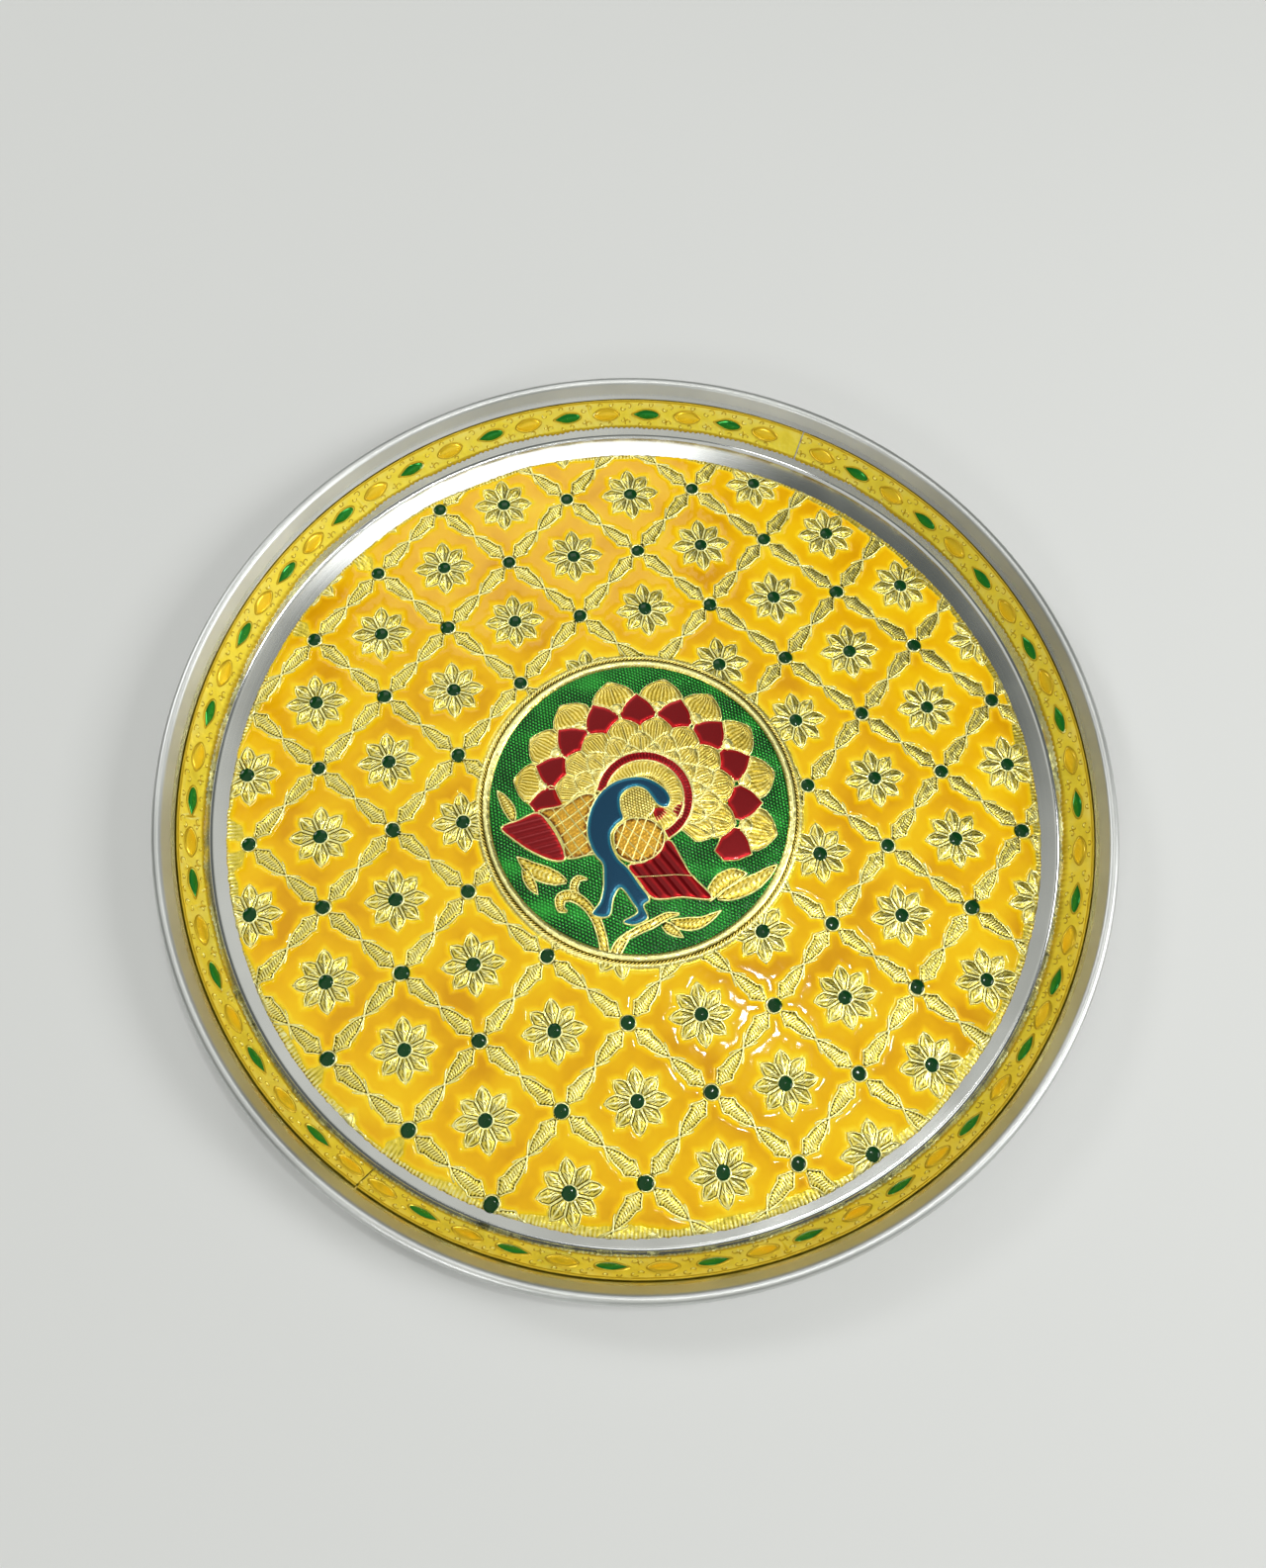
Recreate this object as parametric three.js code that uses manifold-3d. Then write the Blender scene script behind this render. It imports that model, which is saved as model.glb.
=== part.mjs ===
// An enamelled plate: a stainless-steel thali whose floor and wall carry embossed gold foil,
// with a round peacock medallion whose cells are filled with coloured enamel.
// Millimetres, +Z up. The origin is the centre of the underside, which rests at z = 0.

import * as THREE from "three";
import { mergeVertices } from "three/addons/utils/BufferGeometryUtils.js";
import Module from "manifold-3d";

const wasm = await Module();
wasm.setup();

const degrees = Math.PI / 180;
const fullTurn = 2 * Math.PI;

// Steel plate
const rimRadius = 150; // outermost point of the rolled rim
const wallAngle = 62 * degrees; // from the horizontal
const wallLength = 19.3; // up the slope, from the line of the floor to the roll
const filletRadius = 2.5; // inside, between floor and wall
const sheet = 0.7;
const rollRadius = 1.8; // outside of the roll
const rollWrap = 280 * degrees; // how far the sheet's edge is curled round
const rollSteps = 6;
const filletSteps = 2;
const turnSteps = 48; // facets round the plate
const wallSide = wallAngle + Math.PI / 2; // direction square to the wall, up and in
const rollX = rimRadius - rollRadius;
const rollY = sheet + wallLength * Math.sin(wallAngle) - rollRadius * Math.sin(wallSide);
const wallFootRadius =
  rollX + rollRadius * Math.cos(wallSide) - wallLength * Math.cos(wallAngle);
const floorRadius = wallFootRadius - filletRadius * Math.tan(wallAngle / 2);

// Foil
const foil = 0.3; // foil with the enamel that levels it
const floorFoilCentre = new THREE.Vector2(-0.7, -2.4); // the disc was laid a little off centre
const floorFoilMargin = 1.15; // bare steel left where the disc comes nearest to the fillet
const floorFoilRadius = floorRadius - floorFoilCentre.length() - floorFoilMargin;
const floorFoilSteps = 56;
const trimWaver = 0.35; // how far the hand-cut edge wanders
const trimWaves = [3, 7, 11]; // waves round the edge, laid over one another
const relief = 0.8; // height of the embossing at its crests
const motifEdge = 0.6; // height at which the outline of a raised motif stands
const sink = 0.12; // how far a raised form is rooted in its foil, where that is thick enough

// Lattice of the floor foil
const pitchX = 22.6;
const pitchY = 23.1;
const latticeStart = new THREE.Vector2(10, -3.2); // a crossing dome
const flowerTip = 9.9;
const flowerLeast = 4; // a flower is left out where less of it than this is on the foil
const flowerNotch = 6.4;
const petals = 8;
const domeRadius = 2.15; // of the drop at each crossing
const domeShoulder = 1.3;
const domeShoulderRise = 0.64;
const domeSteps = 6;
const barStart = 2.4; // from the dome's centre to the tip of a leaf
const barShoulder = 2.7; // half widths along a leaf
const barWaist = 0.8;
const barShoulderPlace = 0.3; // of the way from the tip to the waist

// Wall band: two strips of foil, end to end
const bandStart = 3.6; // up the wall from its foot
const bandWidth = 10.6;
const bandGap = 0.35; // glue line behind the strip
const seamGap = 0.5;
const seamRight = 59.4 * degrees;
const seamLeft = 229.4 * degrees;
const motifPitch = 11.6 * degrees; // from one leaf to the next
const firstLeafLeft = 70.2 * degrees;
const firstLeafRight = 237.3 * degrees;
const motifLift = 0.7;
const leaf = { half: 4.4, across: 1.7, cheek: 1.3 }; // half sizes; cheek is where it is widest
const oval = { half: 4.2, across: 2.1, cheek: 2.3 };

// Medallion
const medallionCentre = new THREE.Vector2(-0.5, -3.7);
const groundRadius = 49.2; // enamelled ground inside the border
const borderWidth = 4.2;
const borderRise = 0.75;
const borderValley = 0.22; // height left between the border's two beads
const medallionSteps = 36;
const cellGap = 0.3; // between an enamel fill and the walls of its cell
const enamel = 0.4; // depth of a fill that lies low
const wingRise = 0.8; // the bird's own cells stand higher
const neckRise = 0.9;
const ovalRise = 1.2;
const smallestPool = 5; // mm3; no enamel is poured into a gap that holds less

// Peacock tail: petals in tiers, fanned about one point
const fanCentre = new THREE.Vector2(2.1, 0.7);
const fanAngles = [164, 144, 124, 100, 75, 53, 30, 7, -21].map((a) => a * degrees);
const redAngles = [175, 155, 133, 111, 88, 65, 41, 18, -7, -34].map((a) => a * degrees);
const outerTier = { root: 31, tip: 44, half: 7.6, rise: 0.5 };
const redTier = { root: 27, tip: 38.2, half: 6.4 };
const secondTier = { root: 18, tip: 30.3, half: 6.6, rise: 0.65 };
const thirdTier = { root: 13, tip: 25, half: 5.2, rise: 0.8 };
const fourthTier = { root: 9, tip: 20.5, half: 4.4, rise: 0.95 };

// Collar arc round the neck
const collarCentre = new THREE.Vector2(1.8, 2.2);
const collarOuter = 15.8;
const collarInner = 12.8;
const haloRise = 0.6;
const collarFrom = 166 * degrees;
const collarTo = -68 * degrees;
const collarSteps = 16;

// The gold disc held in the curl of the neck
const discCentre = new THREE.Vector2(-0.7, 0.6);
const discRadius = 4.9;
const discRise = 0.7;

// Outlines of the figure, about the medallion's centre
const neckDrawing = [
  [10, 0.4], [9.2, 3.5], [7.2, 5.9], [4.6, 7.9], [1.6, 9.1], [-1.8, 9.4], [-5.8, 8.9], [-9.6, 7.3],
  [-13, 4.6], [-15.7, 0.8], [-17.4, -3.4], [-18.1, -7.8], [-17.6, -12], [-16.3, -15.4],
  [-14.3, -18.6], [-14.5, -23], [-15, -26.6], [-16.6, -30.8], [-19.3, -34.3], [-14.2, -35.5],
  [-12, -29.6], [-9.3, -27], [-6.4, -31.9], [-5.2, -35.4], [-9.9, -37.7], [-6.4, -39.1],
  [-2.2, -37.4], [-3, -33.4], [-0.9, -31.5], [-3.4, -26.6], [-6.4, -20.9], [-9.2, -17.4],
  [-10.7, -13], [-10.5, -8.9], [-8.3, -6.1], [-6, -4.3], [-6.4, -0.8], [-5.9, 3.2], [-3.3, 5.4],
  [-0.1, 5.9], [2.5, 4.5], [4.3, 1.5], [5.8, -1], [8.4, -2],
];
const leftWingDrawing = [
  [-45.3, -3], [-39.5, -1.1], [-33.4, 0.7], [-30, -3.2], [-27, -9.8], [-26, -15.4], [-29.8, -15.6],
  [-36.4, -11.9], [-41.8, -7.3],
];
const leftShoulderDrawing = [
  [-32.8, 1.2], [-26, 2], [-17, 5.4], [-13, 2], [-15.6, -8], [-14.4, -14.8], [-18, -14.9],
  [-25.3, -15.4], [-26.3, -9.8], [-29.3, -3],
];
const rightWingDrawing = [
  [7.4, -12.8], [10.9, -19.2], [13.3, -25], [19, -33.4], [9.7, -32], [0.6, -31.4], [-3.4, -25.4],
  [-6.2, -20], [0, -19],
];
const ovalDrawing = [
  [-1.8, -4.6], [3, -6], [6, -9.2], [6.4, -12], [5, -15.6], [1.8, -18.2], [-2.4, -19.2],
  [-6.2, -18.4], [-9.2, -15.8], [-9.8, -11.9], [-9, -8], [-5.4, -5.2],
];
const throatDrawing = [[5, -1.9], [8.3, -3], [7.4, -4.8], [5, -6.4], [4.2, -4]];
const beakDrawing = [[10.3, -2.9], [14.3, -0.6], [13.6, -3.8], [12, -6.3]];
const leftLeafDrawing = [
  [-45.7, 9.9], [-41.6, 5.6], [-40, 0.8], [-41, -1.8], [-43, 0.4], [-45.2, 4.6],
];
const fernDrawing = [
  [-41.3, -12.9], [-36.4, -15.2], [-30.3, -17.4], [-26.2, -20.4], [-24.2, -24], [-28.7, -23.6],
  [-32.6, -24.8], [-34.7, -27], [-37, -25.6], [-37.8, -22.2], [-39.5, -18.2],
];
const scrollDrawing = [
  [-18.2, -31], [-20.6, -27.8], [-24.6, -25.7], [-28.8, -26.4], [-29.9, -29.4], [-28, -32.3],
  [-25.4, -31.6], [-25, -29.4], [-22.4, -30.6], [-20.6, -34], [-18.9, -39], [-18.4, -47],
  [-14.6, -48], [-15.6, -40], [-17, -34.6],
];
const sprayDrawing = [
  [-15, -47.6], [-12, -41.2], [-6.4, -40.2], [-1.6, -38.4], [2, -35.2], [5.8, -35.8], [8.2, -37.8],
  [13.6, -38.2], [21.6, -37.4], [18.2, -41.8], [12, -42.6], [8.4, -44.6], [5.6, -42], [-1, -41.7],
  [-6.6, -42.6], [-11, -46.4], [-12.4, -48.4],
];
const rightLeafDrawing = [
  [17.6, -34.2], [19, -27.7], [23.6, -24.7], [28.2, -24.9], [31, -27.2], [35.1, -25.4], [41.6, -24.6],
  [38.6, -29.2], [34.3, -32.8], [28.2, -34.2], [22, -34.4],
];
const sprayRise = 0.55;
const figure = [
  neckDrawing, leftWingDrawing, leftShoulderDrawing, rightWingDrawing, ovalDrawing, throatDrawing,
  beakDrawing, leftLeafDrawing, fernDrawing, scrollDrawing, sprayDrawing, rightLeafDrawing,
];
const stemReach = 1.27; // how far the stems at the figure's foot run into the border
const farthest = Math.max(...figure.flat().map(([x, y]) => Math.hypot(x, y)));
const drawnRadius = farthest - stemReach; // of the ground that the figure is drawn for

// A closed solid from a geometry; faces are turned out whichever way its rings ran.
function solidOf(geometry) {
  const weld = 1e-4;
  const bare = new THREE.BufferGeometry();
  bare.setAttribute("position", geometry.getAttribute("position"));
  bare.setIndex(geometry.getIndex());
  const merged = mergeVertices(bare, weld);
  const corners = merged.getIndex().array;
  const faces = [];
  for (let i = 0; i < corners.length; i += 3) {
    const [a, b, c] = corners.slice(i, i + 3);
    if (a !== b && b !== c && c !== a) faces.push(a, b, c);
  }
  const build = (triVerts) =>
    new wasm.Manifold(
      new wasm.Mesh({
        numProp: 3,
        vertProperties: merged.getAttribute("position").array,
        triVerts: new Uint32Array(triVerts),
      }),
    );
  const made = build(faces);
  return made.volume() < 0 ? build(faces.reverse()) : made;
}

function geometryOf(solid) {
  const mesh = solid.getMesh();
  const geometry = new THREE.BufferGeometry();
  geometry.setAttribute("position", new THREE.BufferAttribute(mesh.vertProperties, 3));
  geometry.setIndex(new THREE.BufferAttribute(mesh.triVerts, 1));
  geometry.computeVertexNormals();
  return geometry;
}

const joined = (solids) => wasm.Manifold.union(solids);

// Of a solid that a cut has split, the largest body.
function largest(solid) {
  return solid.decompose().reduce((best, body) => (body.volume() > best.volume() ? body : best));
}

// A solid skinned over rings of equal count, each end closed by a fan to its own point.
// Without a last point the last ring is folded flat on itself, as the ridge of a roof is.
function skinned(rings, firstPoint, lastPoint) {
  const count = rings[0].length;
  const vertices = rings.flat();
  const index = [];
  rings.slice(1).forEach((ring, k) => {
    for (let i = 0; i < count; i++) {
      const next = (i + 1) % count;
      const [a, b] = [k * count + i, k * count + next];
      index.push(a, b, b + count, a, b + count, a + count);
    }
  });
  const fan = (point, first, flip) => {
    const hub = vertices.push(point) - 1;
    for (let i = 0; i < count; i++) {
      const [a, b] = [first + i, first + ((i + 1) % count)];
      index.push(hub, flip ? b : a, flip ? a : b);
    }
  };
  fan(firstPoint, 0, true);
  if (lastPoint) fan(lastPoint, (rings.length - 1) * count, false);
  const geometry = new THREE.BufferGeometry().setFromPoints(vertices);
  geometry.setIndex(index);
  return solidOf(geometry);
}

// A flat piece with upright sides, between two heights.
function slab(outline, bottom, top) {
  const geometry = new THREE.ExtrudeGeometry(new THREE.Shape(outline), {
    depth: top - bottom,
    bevelEnabled: false,
  });
  return solidOf(geometry.translate(0, 0, bottom));
}

const at = (point, z) => new THREE.Vector3(point.x, point.y, z);
const polar = (radius, angle) =>
  new THREE.Vector2(radius * Math.cos(angle), radius * Math.sin(angle));

function circle(radius, steps) {
  return Array.from({ length: steps }, (_, i) => polar(radius, (i * fullTurn) / steps));
}

// An outline moved outwards by a distance, square to its own edge.
function grown(outline, distance) {
  const sharpest = 0.5; // keeps the mitre of a sharp corner short
  const turn = THREE.ShapeUtils.area(outline) > 0 ? 1 : -1;
  return outline.map((point, i) => {
    const before = outline.at(i - 1);
    const after = outline[(i + 1) % outline.length];
    const inward = point.clone().sub(before).normalize();
    const onward = after.clone().sub(point).normalize();
    const normal = new THREE.Vector2(inward.y + onward.y, -inward.x - onward.x).normalize();
    const mitre = Math.max(normal.dot(new THREE.Vector2(onward.y, -onward.x)), sharpest);
    return point.clone().addScaledVector(normal, (turn * distance) / mitre);
  });
}

const drawn = (points) => points.map(([x, y]) => new THREE.Vector2(x, y));

// An outline of the figure at the size of the real ground.
function scaled(outline) {
  return outline.map((point) => point.clone().multiplyScalar(groundRadius / drawnRadius));
}

function steelMaterial() {
  return new THREE.MeshStandardMaterial({ color: 0xc9cdcc, roughness: 0.25, metalness: 1 });
}

function foilMaterial(color) {
  return new THREE.MeshStandardMaterial({ color, roughness: 0.3, metalness: 0.9 });
}

function enamelMaterial(color) {
  return new THREE.MeshStandardMaterial({ color, roughness: 0.15, metalness: 0 });
}

const plate = new THREE.Group();

function place(parent, name, solid, material) {
  const mesh = new THREE.Mesh(geometryOf(solid), material);
  mesh.name = name;
  parent.add(mesh);
  return mesh;
}

// A point on the wall: how far up from its foot, and how far in from its face.
function onWall(azimuth, along, off) {
  const radius = wallFootRadius + along * Math.cos(wallAngle) - off * Math.sin(wallAngle);
  return at(
    polar(radius, azimuth),
    sheet + along * Math.sin(wallAngle) + off * Math.cos(wallAngle),
  );
}

// Steel: floor, fillet, wall and a rim rolled outwards and under, turned from one profile.
function steelPlate() {
  const fillet = (radius, step) => {
    const angle = (wallAngle * step) / filletSteps;
    return new THREE.Vector2(
      floorRadius + radius * Math.sin(angle),
      sheet + filletRadius - radius * Math.cos(angle),
    );
  };
  const roll = (radius, step) =>
    polar(radius, wallSide - (rollWrap * step) / rollSteps).add(new THREE.Vector2(rollX, rollY));
  const profile = [new THREE.Vector2(0, sheet)];
  for (let i = 0; i <= filletSteps; i++) profile.push(fillet(filletRadius, i));
  for (let i = 0; i <= rollSteps; i++) profile.push(roll(rollRadius, i));
  for (let i = rollSteps; i >= 0; i--) profile.push(roll(rollRadius - sheet, i));
  for (let i = filletSteps; i >= 0; i--) profile.push(fillet(filletRadius + sheet, i));
  profile.push(new THREE.Vector2(0, 0));
  const turned = new THREE.LatheGeometry(profile.reverse(), turnSteps);
  return solidOf(turned.rotateX(Math.PI / 2));
}

// A low faceted dome on the face of a foil.
function dome(face) {
  const ring = (radius, z) => circle(radius, domeSteps).map((p) => at(p, z));
  return skinned(
    [ring(domeRadius, face), ring(domeShoulder, face + domeShoulderRise)],
    new THREE.Vector3(0, 0, face),
    new THREE.Vector3(0, 0, face + relief),
  );
}

// A flower of kite-shaped petals. Its face rises from their outline to the middle.
function flower(face) {
  const outline = [];
  for (let i = 0; i < petals; i++) {
    const angle = (i * fullTurn) / petals;
    outline.push(polar(flowerTip, angle), polar(flowerNotch, angle + fullTurn / petals / 2));
  }
  const ring = (z) => outline.map((p) => at(p, z));
  return skinned(
    [ring(face), ring(face + motifEdge)],
    new THREE.Vector3(0, 0, face),
    new THREE.Vector3(0, 0, face + relief),
  );
}

// Two leaves tip to tip: the bar between two domes.
function bar(length, face) {
  const reach = length / 2 - barStart;
  const shoulder = reach * (1 - barShoulderPlace);
  const side = [
    [shoulder, barShoulder],
    [0, barWaist],
    [-shoulder, barShoulder],
  ];
  const other = side.map(([x, y]) => [-x, -y]);
  const outline = [[reach, 0], ...side, [-reach, 0], ...other];
  return slab(drawn(outline), face, face + motifEdge);
}

// The hand-cut outline of the floor foil.
function trimmedEdge() {
  return Array.from({ length: floorFoilSteps }, (_, i) => {
    const angle = (i * fullTurn) / floorFoilSteps;
    const waver = trimWaves.reduce((sum, wave) => sum + Math.sin(wave * angle + wave), 0);
    const trimmed = trimWaver * (1 + waver / trimWaves.length);
    return polar(floorFoilRadius - trimmed, angle).add(floorFoilCentre);
  });
}

function floorFoil() {
  const bottom = sheet;
  const face = sheet + foil;
  const top = face + relief;
  const outline = trimmedEdge();
  const crossing = new THREE.Vector2(pitchX, pitchY);
  const barLength = crossing.length();
  const barAngle = crossing.angle();
  const motifs = [];
  const columns = Math.ceil(rimRadius / pitchX);
  const rows = Math.ceil(rimRadius / pitchY);
  for (let column = -columns; column <= columns; column++) {
    for (let row = -rows; row <= rows; row++) {
      const spot = latticeStart.clone().add(new THREE.Vector2(column * pitchX, row * pitchY));
      const outside = spot.distanceTo(floorFoilCentre) - floorFoilRadius;
      if (outside > flowerTip - flowerLeast) continue;
      const put = (solid) => motifs.push(solid.translate(spot.x, spot.y, 0));
      if ((column + row) % 2 === 0) {
        for (const angle of [barAngle, Math.PI - barAngle]) {
          const middle = polar(barLength / 2, angle);
          const turned = bar(barLength, face).rotate(0, 0, angle / degrees);
          put(turned.translate(middle.x, middle.y, 0));
        }
        put(dome(face));
      } else {
        put(flower(face));
      }
    }
  }
  const footprint = slab(
    circle(groundRadius + borderWidth + cellGap, medallionSteps).map((p) => p.add(medallionCentre)),
    bottom,
    top + relief,
  );
  const inside = slab(outline, bottom, top + relief);
  const raised = joined(motifs).subtract(footprint).intersect(inside);
  return largest(joined([slab(outline, bottom, face), raised]));
}

// A low boss on the face of a wall strip, six-sided and coming to a crest.
function boss({ half, across, cheek }, azimuth) {
  const face = bandGap + foil;
  const middle = onWall(azimuth, bandStart + bandWidth / 2, 0);
  const tangent = at(polar(1, azimuth + Math.PI / 2), 0);
  const up = onWall(azimuth, 1, 0).sub(onWall(azimuth, 0, 0));
  const out = onWall(azimuth, 0, 1).sub(onWall(azimuth, 0, 0));
  const frame = new THREE.Matrix4().makeBasis(tangent, up, out).setPosition(middle);
  const spot = (x, y, z) => new THREE.Vector3(x, y, z).applyMatrix4(frame);
  const outline = [
    spot(half, 0, face),
    spot(cheek, across, face),
    spot(-cheek, across, face),
    spot(-half, 0, face),
    spot(-cheek, -across, face),
    spot(cheek, -across, face),
  ];
  return skinned([outline], spot(0, 0, face), spot(0, 0, face + motifLift));
}

// A strip of foil on the wall from one seam to the next, with leaves and ovals in turn.
function wallBand(from, to, firstLeaf) {
  const clear = seamGap / 2 / wallFootRadius;
  const start = from + clear;
  const end = to - clear;
  const spacing = motifPitch / 2; // from a leaf to the oval beside it
  const room = oval.half / wallFootRadius;
  const before = Math.floor((firstLeaf - start - room) / spacing);
  const after = Math.floor((end - firstLeaf - room) / spacing);
  const places = Array.from({ length: before + after + 1 }, (_, i) => i - before);
  // Each motif has a flat facet of its own; the folds lie midway between motifs.
  const folds = places.slice(1).map((place) => firstLeaf + (place - 0.5) * spacing);
  const section = (azimuth) => [
    onWall(azimuth, bandStart, bandGap),
    onWall(azimuth, bandStart + bandWidth, bandGap),
    onWall(azimuth, bandStart + bandWidth, bandGap + foil),
    onWall(azimuth, bandStart, bandGap + foil),
  ];
  const middle = (azimuth) => onWall(azimuth, bandStart + bandWidth / 2, bandGap + foil / 2);
  const strip = skinned([start, ...folds, end].map(section), middle(start), middle(end));
  const bosses = places.map((place) =>
    boss(place % 2 === 0 ? leaf : oval, firstLeaf + place * spacing),
  );
  return joined([strip, ...bosses]);
}

// One petal of the tail, pointed at its tip and swelling at its sides.
function petal({ root, tip, half }, angle) {
  const swell = 1.25; // the curve's control stands wider than the curve
  const neck = 0.55;
  const middle = (root + tip) / 2;
  const shape = new THREE.Shape();
  shape.moveTo(root, -half * neck);
  shape.quadraticCurveTo(middle, -half * swell, tip, 0);
  shape.quadraticCurveTo(middle, half * swell, root, half * neck);
  const curveSteps = 3;
  return shape
    .getPoints(curveSteps)
    .map((p) => p.rotateAround(new THREE.Vector2(), angle).add(fanCentre));
}

function arcBand(centre, inner, outer, from, to) {
  const side = (radius) =>
    Array.from({ length: collarSteps + 1 }, (_, i) =>
      polar(radius, from + ((to - from) * i) / collarSteps).add(centre),
    );
  return [...side(outer), ...side(inner).reverse()];
}

// The cells of the figure that hold enamel, the uppermost first.
function enamelCells() {
  const [blue, amber, red] = [0x0f4664, 0xa06414, 0x8c101c];
  const collar = arcBand(collarCentre, collarInner, collarOuter, collarFrom, collarTo);
  const cell = (name, outline, color, rise = enamel) => ({
    name,
    outline: scaled(outline),
    color,
    rise,
  });
  const tail = redAngles.map((angle, i) => {
    const name = "tail_enamel_" + String(i + 1).padStart(2, "0");
    return { ...cell(name, petal(redTier, angle), red), isTail: true };
  });
  return [
    cell("neck_enamel", drawn(neckDrawing), blue, neckRise),
    cell("wing_oval_enamel", drawn(ovalDrawing), amber, ovalRise),
    cell("right_wing_enamel", drawn(rightWingDrawing), red, wingRise),
    cell("left_wing_enamel", drawn(leftWingDrawing), red, wingRise),
    cell("left_shoulder_enamel", drawn(leftShoulderDrawing), amber, wingRise),
    cell("throat_enamel", drawn(throatDrawing), red),
    cell("beak_enamel", drawn(beakDrawing), red),
    cell("collar_enamel", collar, red, wingRise),
    ...tail,
  ];
}

// The raised gold forms of the figure.
function goldForms() {
  const forms = [];
  for (const angle of fanAngles) {
    forms.push({ outline: petal(outerTier, angle), rise: outerTier.rise });
    forms.push({ outline: petal(secondTier, angle), rise: secondTier.rise });
    forms.push({ outline: petal(fourthTier, angle), rise: fourthTier.rise });
  }
  for (const angle of redAngles) {
    forms.push({ outline: petal(thirdTier, angle), rise: thirdTier.rise });
  }
  const disc = circle(discRadius, medallionSteps / 4).map((p) => p.add(discCentre));
  const halo = circle(collarInner, medallionSteps / 2).map((p) => p.add(collarCentre));
  forms.push({ outline: disc, rise: discRise }, { outline: halo, rise: haloRise });
  const sprays = [
    leftLeafDrawing, fernDrawing, scrollDrawing, sprayDrawing, rightLeafDrawing,
  ];
  for (const spray of sprays) forms.push({ outline: drawn(spray), rise: sprayRise });
  return forms.map(({ outline, rise }) => ({ outline: scaled(outline), rise }));
}

// The foil's own disc with its two-bead border, turned from one profile.
function medallionBlank() {
  const crest = borderWidth / 4; // from an edge of the border to the top of the bead beside it
  const outer = groundRadius + borderWidth;
  const profile = [
    [0, 0],
    [outer, 0],
    [outer, foil],
    [outer - crest, foil + borderRise],
    [groundRadius + borderWidth / 2, foil + borderValley],
    [groundRadius + crest, foil + borderRise],
    [groundRadius, foil],
    [0, foil],
  ].map(([x, y]) => new THREE.Vector2(x, y));
  return solidOf(new THREE.LatheGeometry(profile, medallionSteps).rotateX(Math.PI / 2));
}

function medallion() {
  const group = new THREE.Group();
  group.position.set(medallionCentre.x, medallionCentre.y, sheet + foil);
  const floor = foil;
  const above = foil + relief + borderRise;
  const cells = enamelCells();
  const pockets = cells.map(({ outline }) => slab(grown(outline, cellGap), floor, above));
  const forms = goldForms();

  const raised = joined(forms.map(({ outline, rise }) => slab(outline, floor - sink, floor + rise)));
  const pocketed = joined([medallionBlank(), raised]).subtract(joined(pockets));
  place(group, "medallion_foil", largest(pocketed), foilMaterial(0xd8cc74));

  const bed = (height) => slab(circle(groundRadius - cellGap, medallionSteps), floor, height);
  const scales = joined(
    fanAngles.map((angle) =>
      slab(grown(scaled(petal(secondTier, angle)), cellGap), floor, above),
    ),
  );
  cells.forEach(({ name, outline, color, rise, isTail }, i) => {
    let fill = slab(outline, floor, floor + rise).intersect(bed(above));
    if (i > 0) fill = fill.subtract(joined(pockets.slice(0, i)));
    if (isTail) fill = fill.subtract(scales);
    place(group, name, largest(fill), enamelMaterial(color));
  });

  const walls = forms.map(({ outline }) => slab(grown(outline, cellGap), floor, above));
  const ground = bed(floor + enamel).subtract(joined([...pockets, ...walls]));
  const pools = ground.decompose().filter((pool) => pool.volume() > smallestPool);
  pools.sort((one, other) => other.volume() - one.volume());
  pools.forEach((pool, i) => {
    const name = i === 0 ? "ground_enamel" : "ground_enamel_" + (i + 1);
    place(group, name, pool, enamelMaterial(0x0a6428));
  });
  return group;
}

place(plate, "steel_plate", steelPlate(), steelMaterial());
place(plate, "floor_foil", floorFoil(), foilMaterial(0xdcd278));
const leftStrip = wallBand(seamRight, seamLeft, firstLeafLeft);
const rightStrip = wallBand(seamLeft, seamRight + fullTurn, firstLeafRight);
place(plate, "wall_band_left", leftStrip, foilMaterial(0xd7af1e));
place(plate, "wall_band_right", rightStrip, foilMaterial(0xd7af1e));
plate.add(medallion());

export default plate;
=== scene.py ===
# %% [markdown]
# # An enamelled plate
# A stainless-steel plate with a rolled rim. Its floor and its wall carry embossed gold foil,
# and coloured cold enamel is poured into the low places of the foil: this is how a festive
# thali is decorated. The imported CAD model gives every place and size, so it is loaded first.
# All meshes below are drawn in millimetres and turned to metres in one place.

# %% Load the frame
import math

import bmesh
import bpy
import numpy as np
from mathutils import Matrix, Vector


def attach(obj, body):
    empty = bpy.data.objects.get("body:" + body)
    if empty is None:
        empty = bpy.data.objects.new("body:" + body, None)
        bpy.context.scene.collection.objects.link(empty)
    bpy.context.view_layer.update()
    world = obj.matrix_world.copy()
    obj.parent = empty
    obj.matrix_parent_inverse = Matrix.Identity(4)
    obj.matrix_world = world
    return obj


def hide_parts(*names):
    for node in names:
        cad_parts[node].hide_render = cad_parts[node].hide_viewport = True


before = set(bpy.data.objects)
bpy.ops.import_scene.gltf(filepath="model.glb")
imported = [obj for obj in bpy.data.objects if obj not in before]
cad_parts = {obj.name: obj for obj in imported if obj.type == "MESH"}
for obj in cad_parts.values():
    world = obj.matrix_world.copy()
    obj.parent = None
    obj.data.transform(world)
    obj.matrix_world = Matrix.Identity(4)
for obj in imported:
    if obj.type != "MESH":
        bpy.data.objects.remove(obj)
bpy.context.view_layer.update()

MM = 0.001
print("nodes:", len(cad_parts))

# %% [markdown]
# ## Camera
# The camera comes first, so that every piece can be judged in the right view. A fit to the
# lattice and the rim of the photographed plate gave its place and its three directions; the
# lens is given for a frame that is higher than it is wide.

# %% Camera
RIGHT = Vector((0.992187, -0.119879, 0.034562))
UP = Vector((0.103348, 0.944908, 0.310593))
BACK = Vector((-0.069891, -0.304594, 0.949914))
EYE = Vector((-26.48, -103.60, 335.47)) * MM

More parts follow.
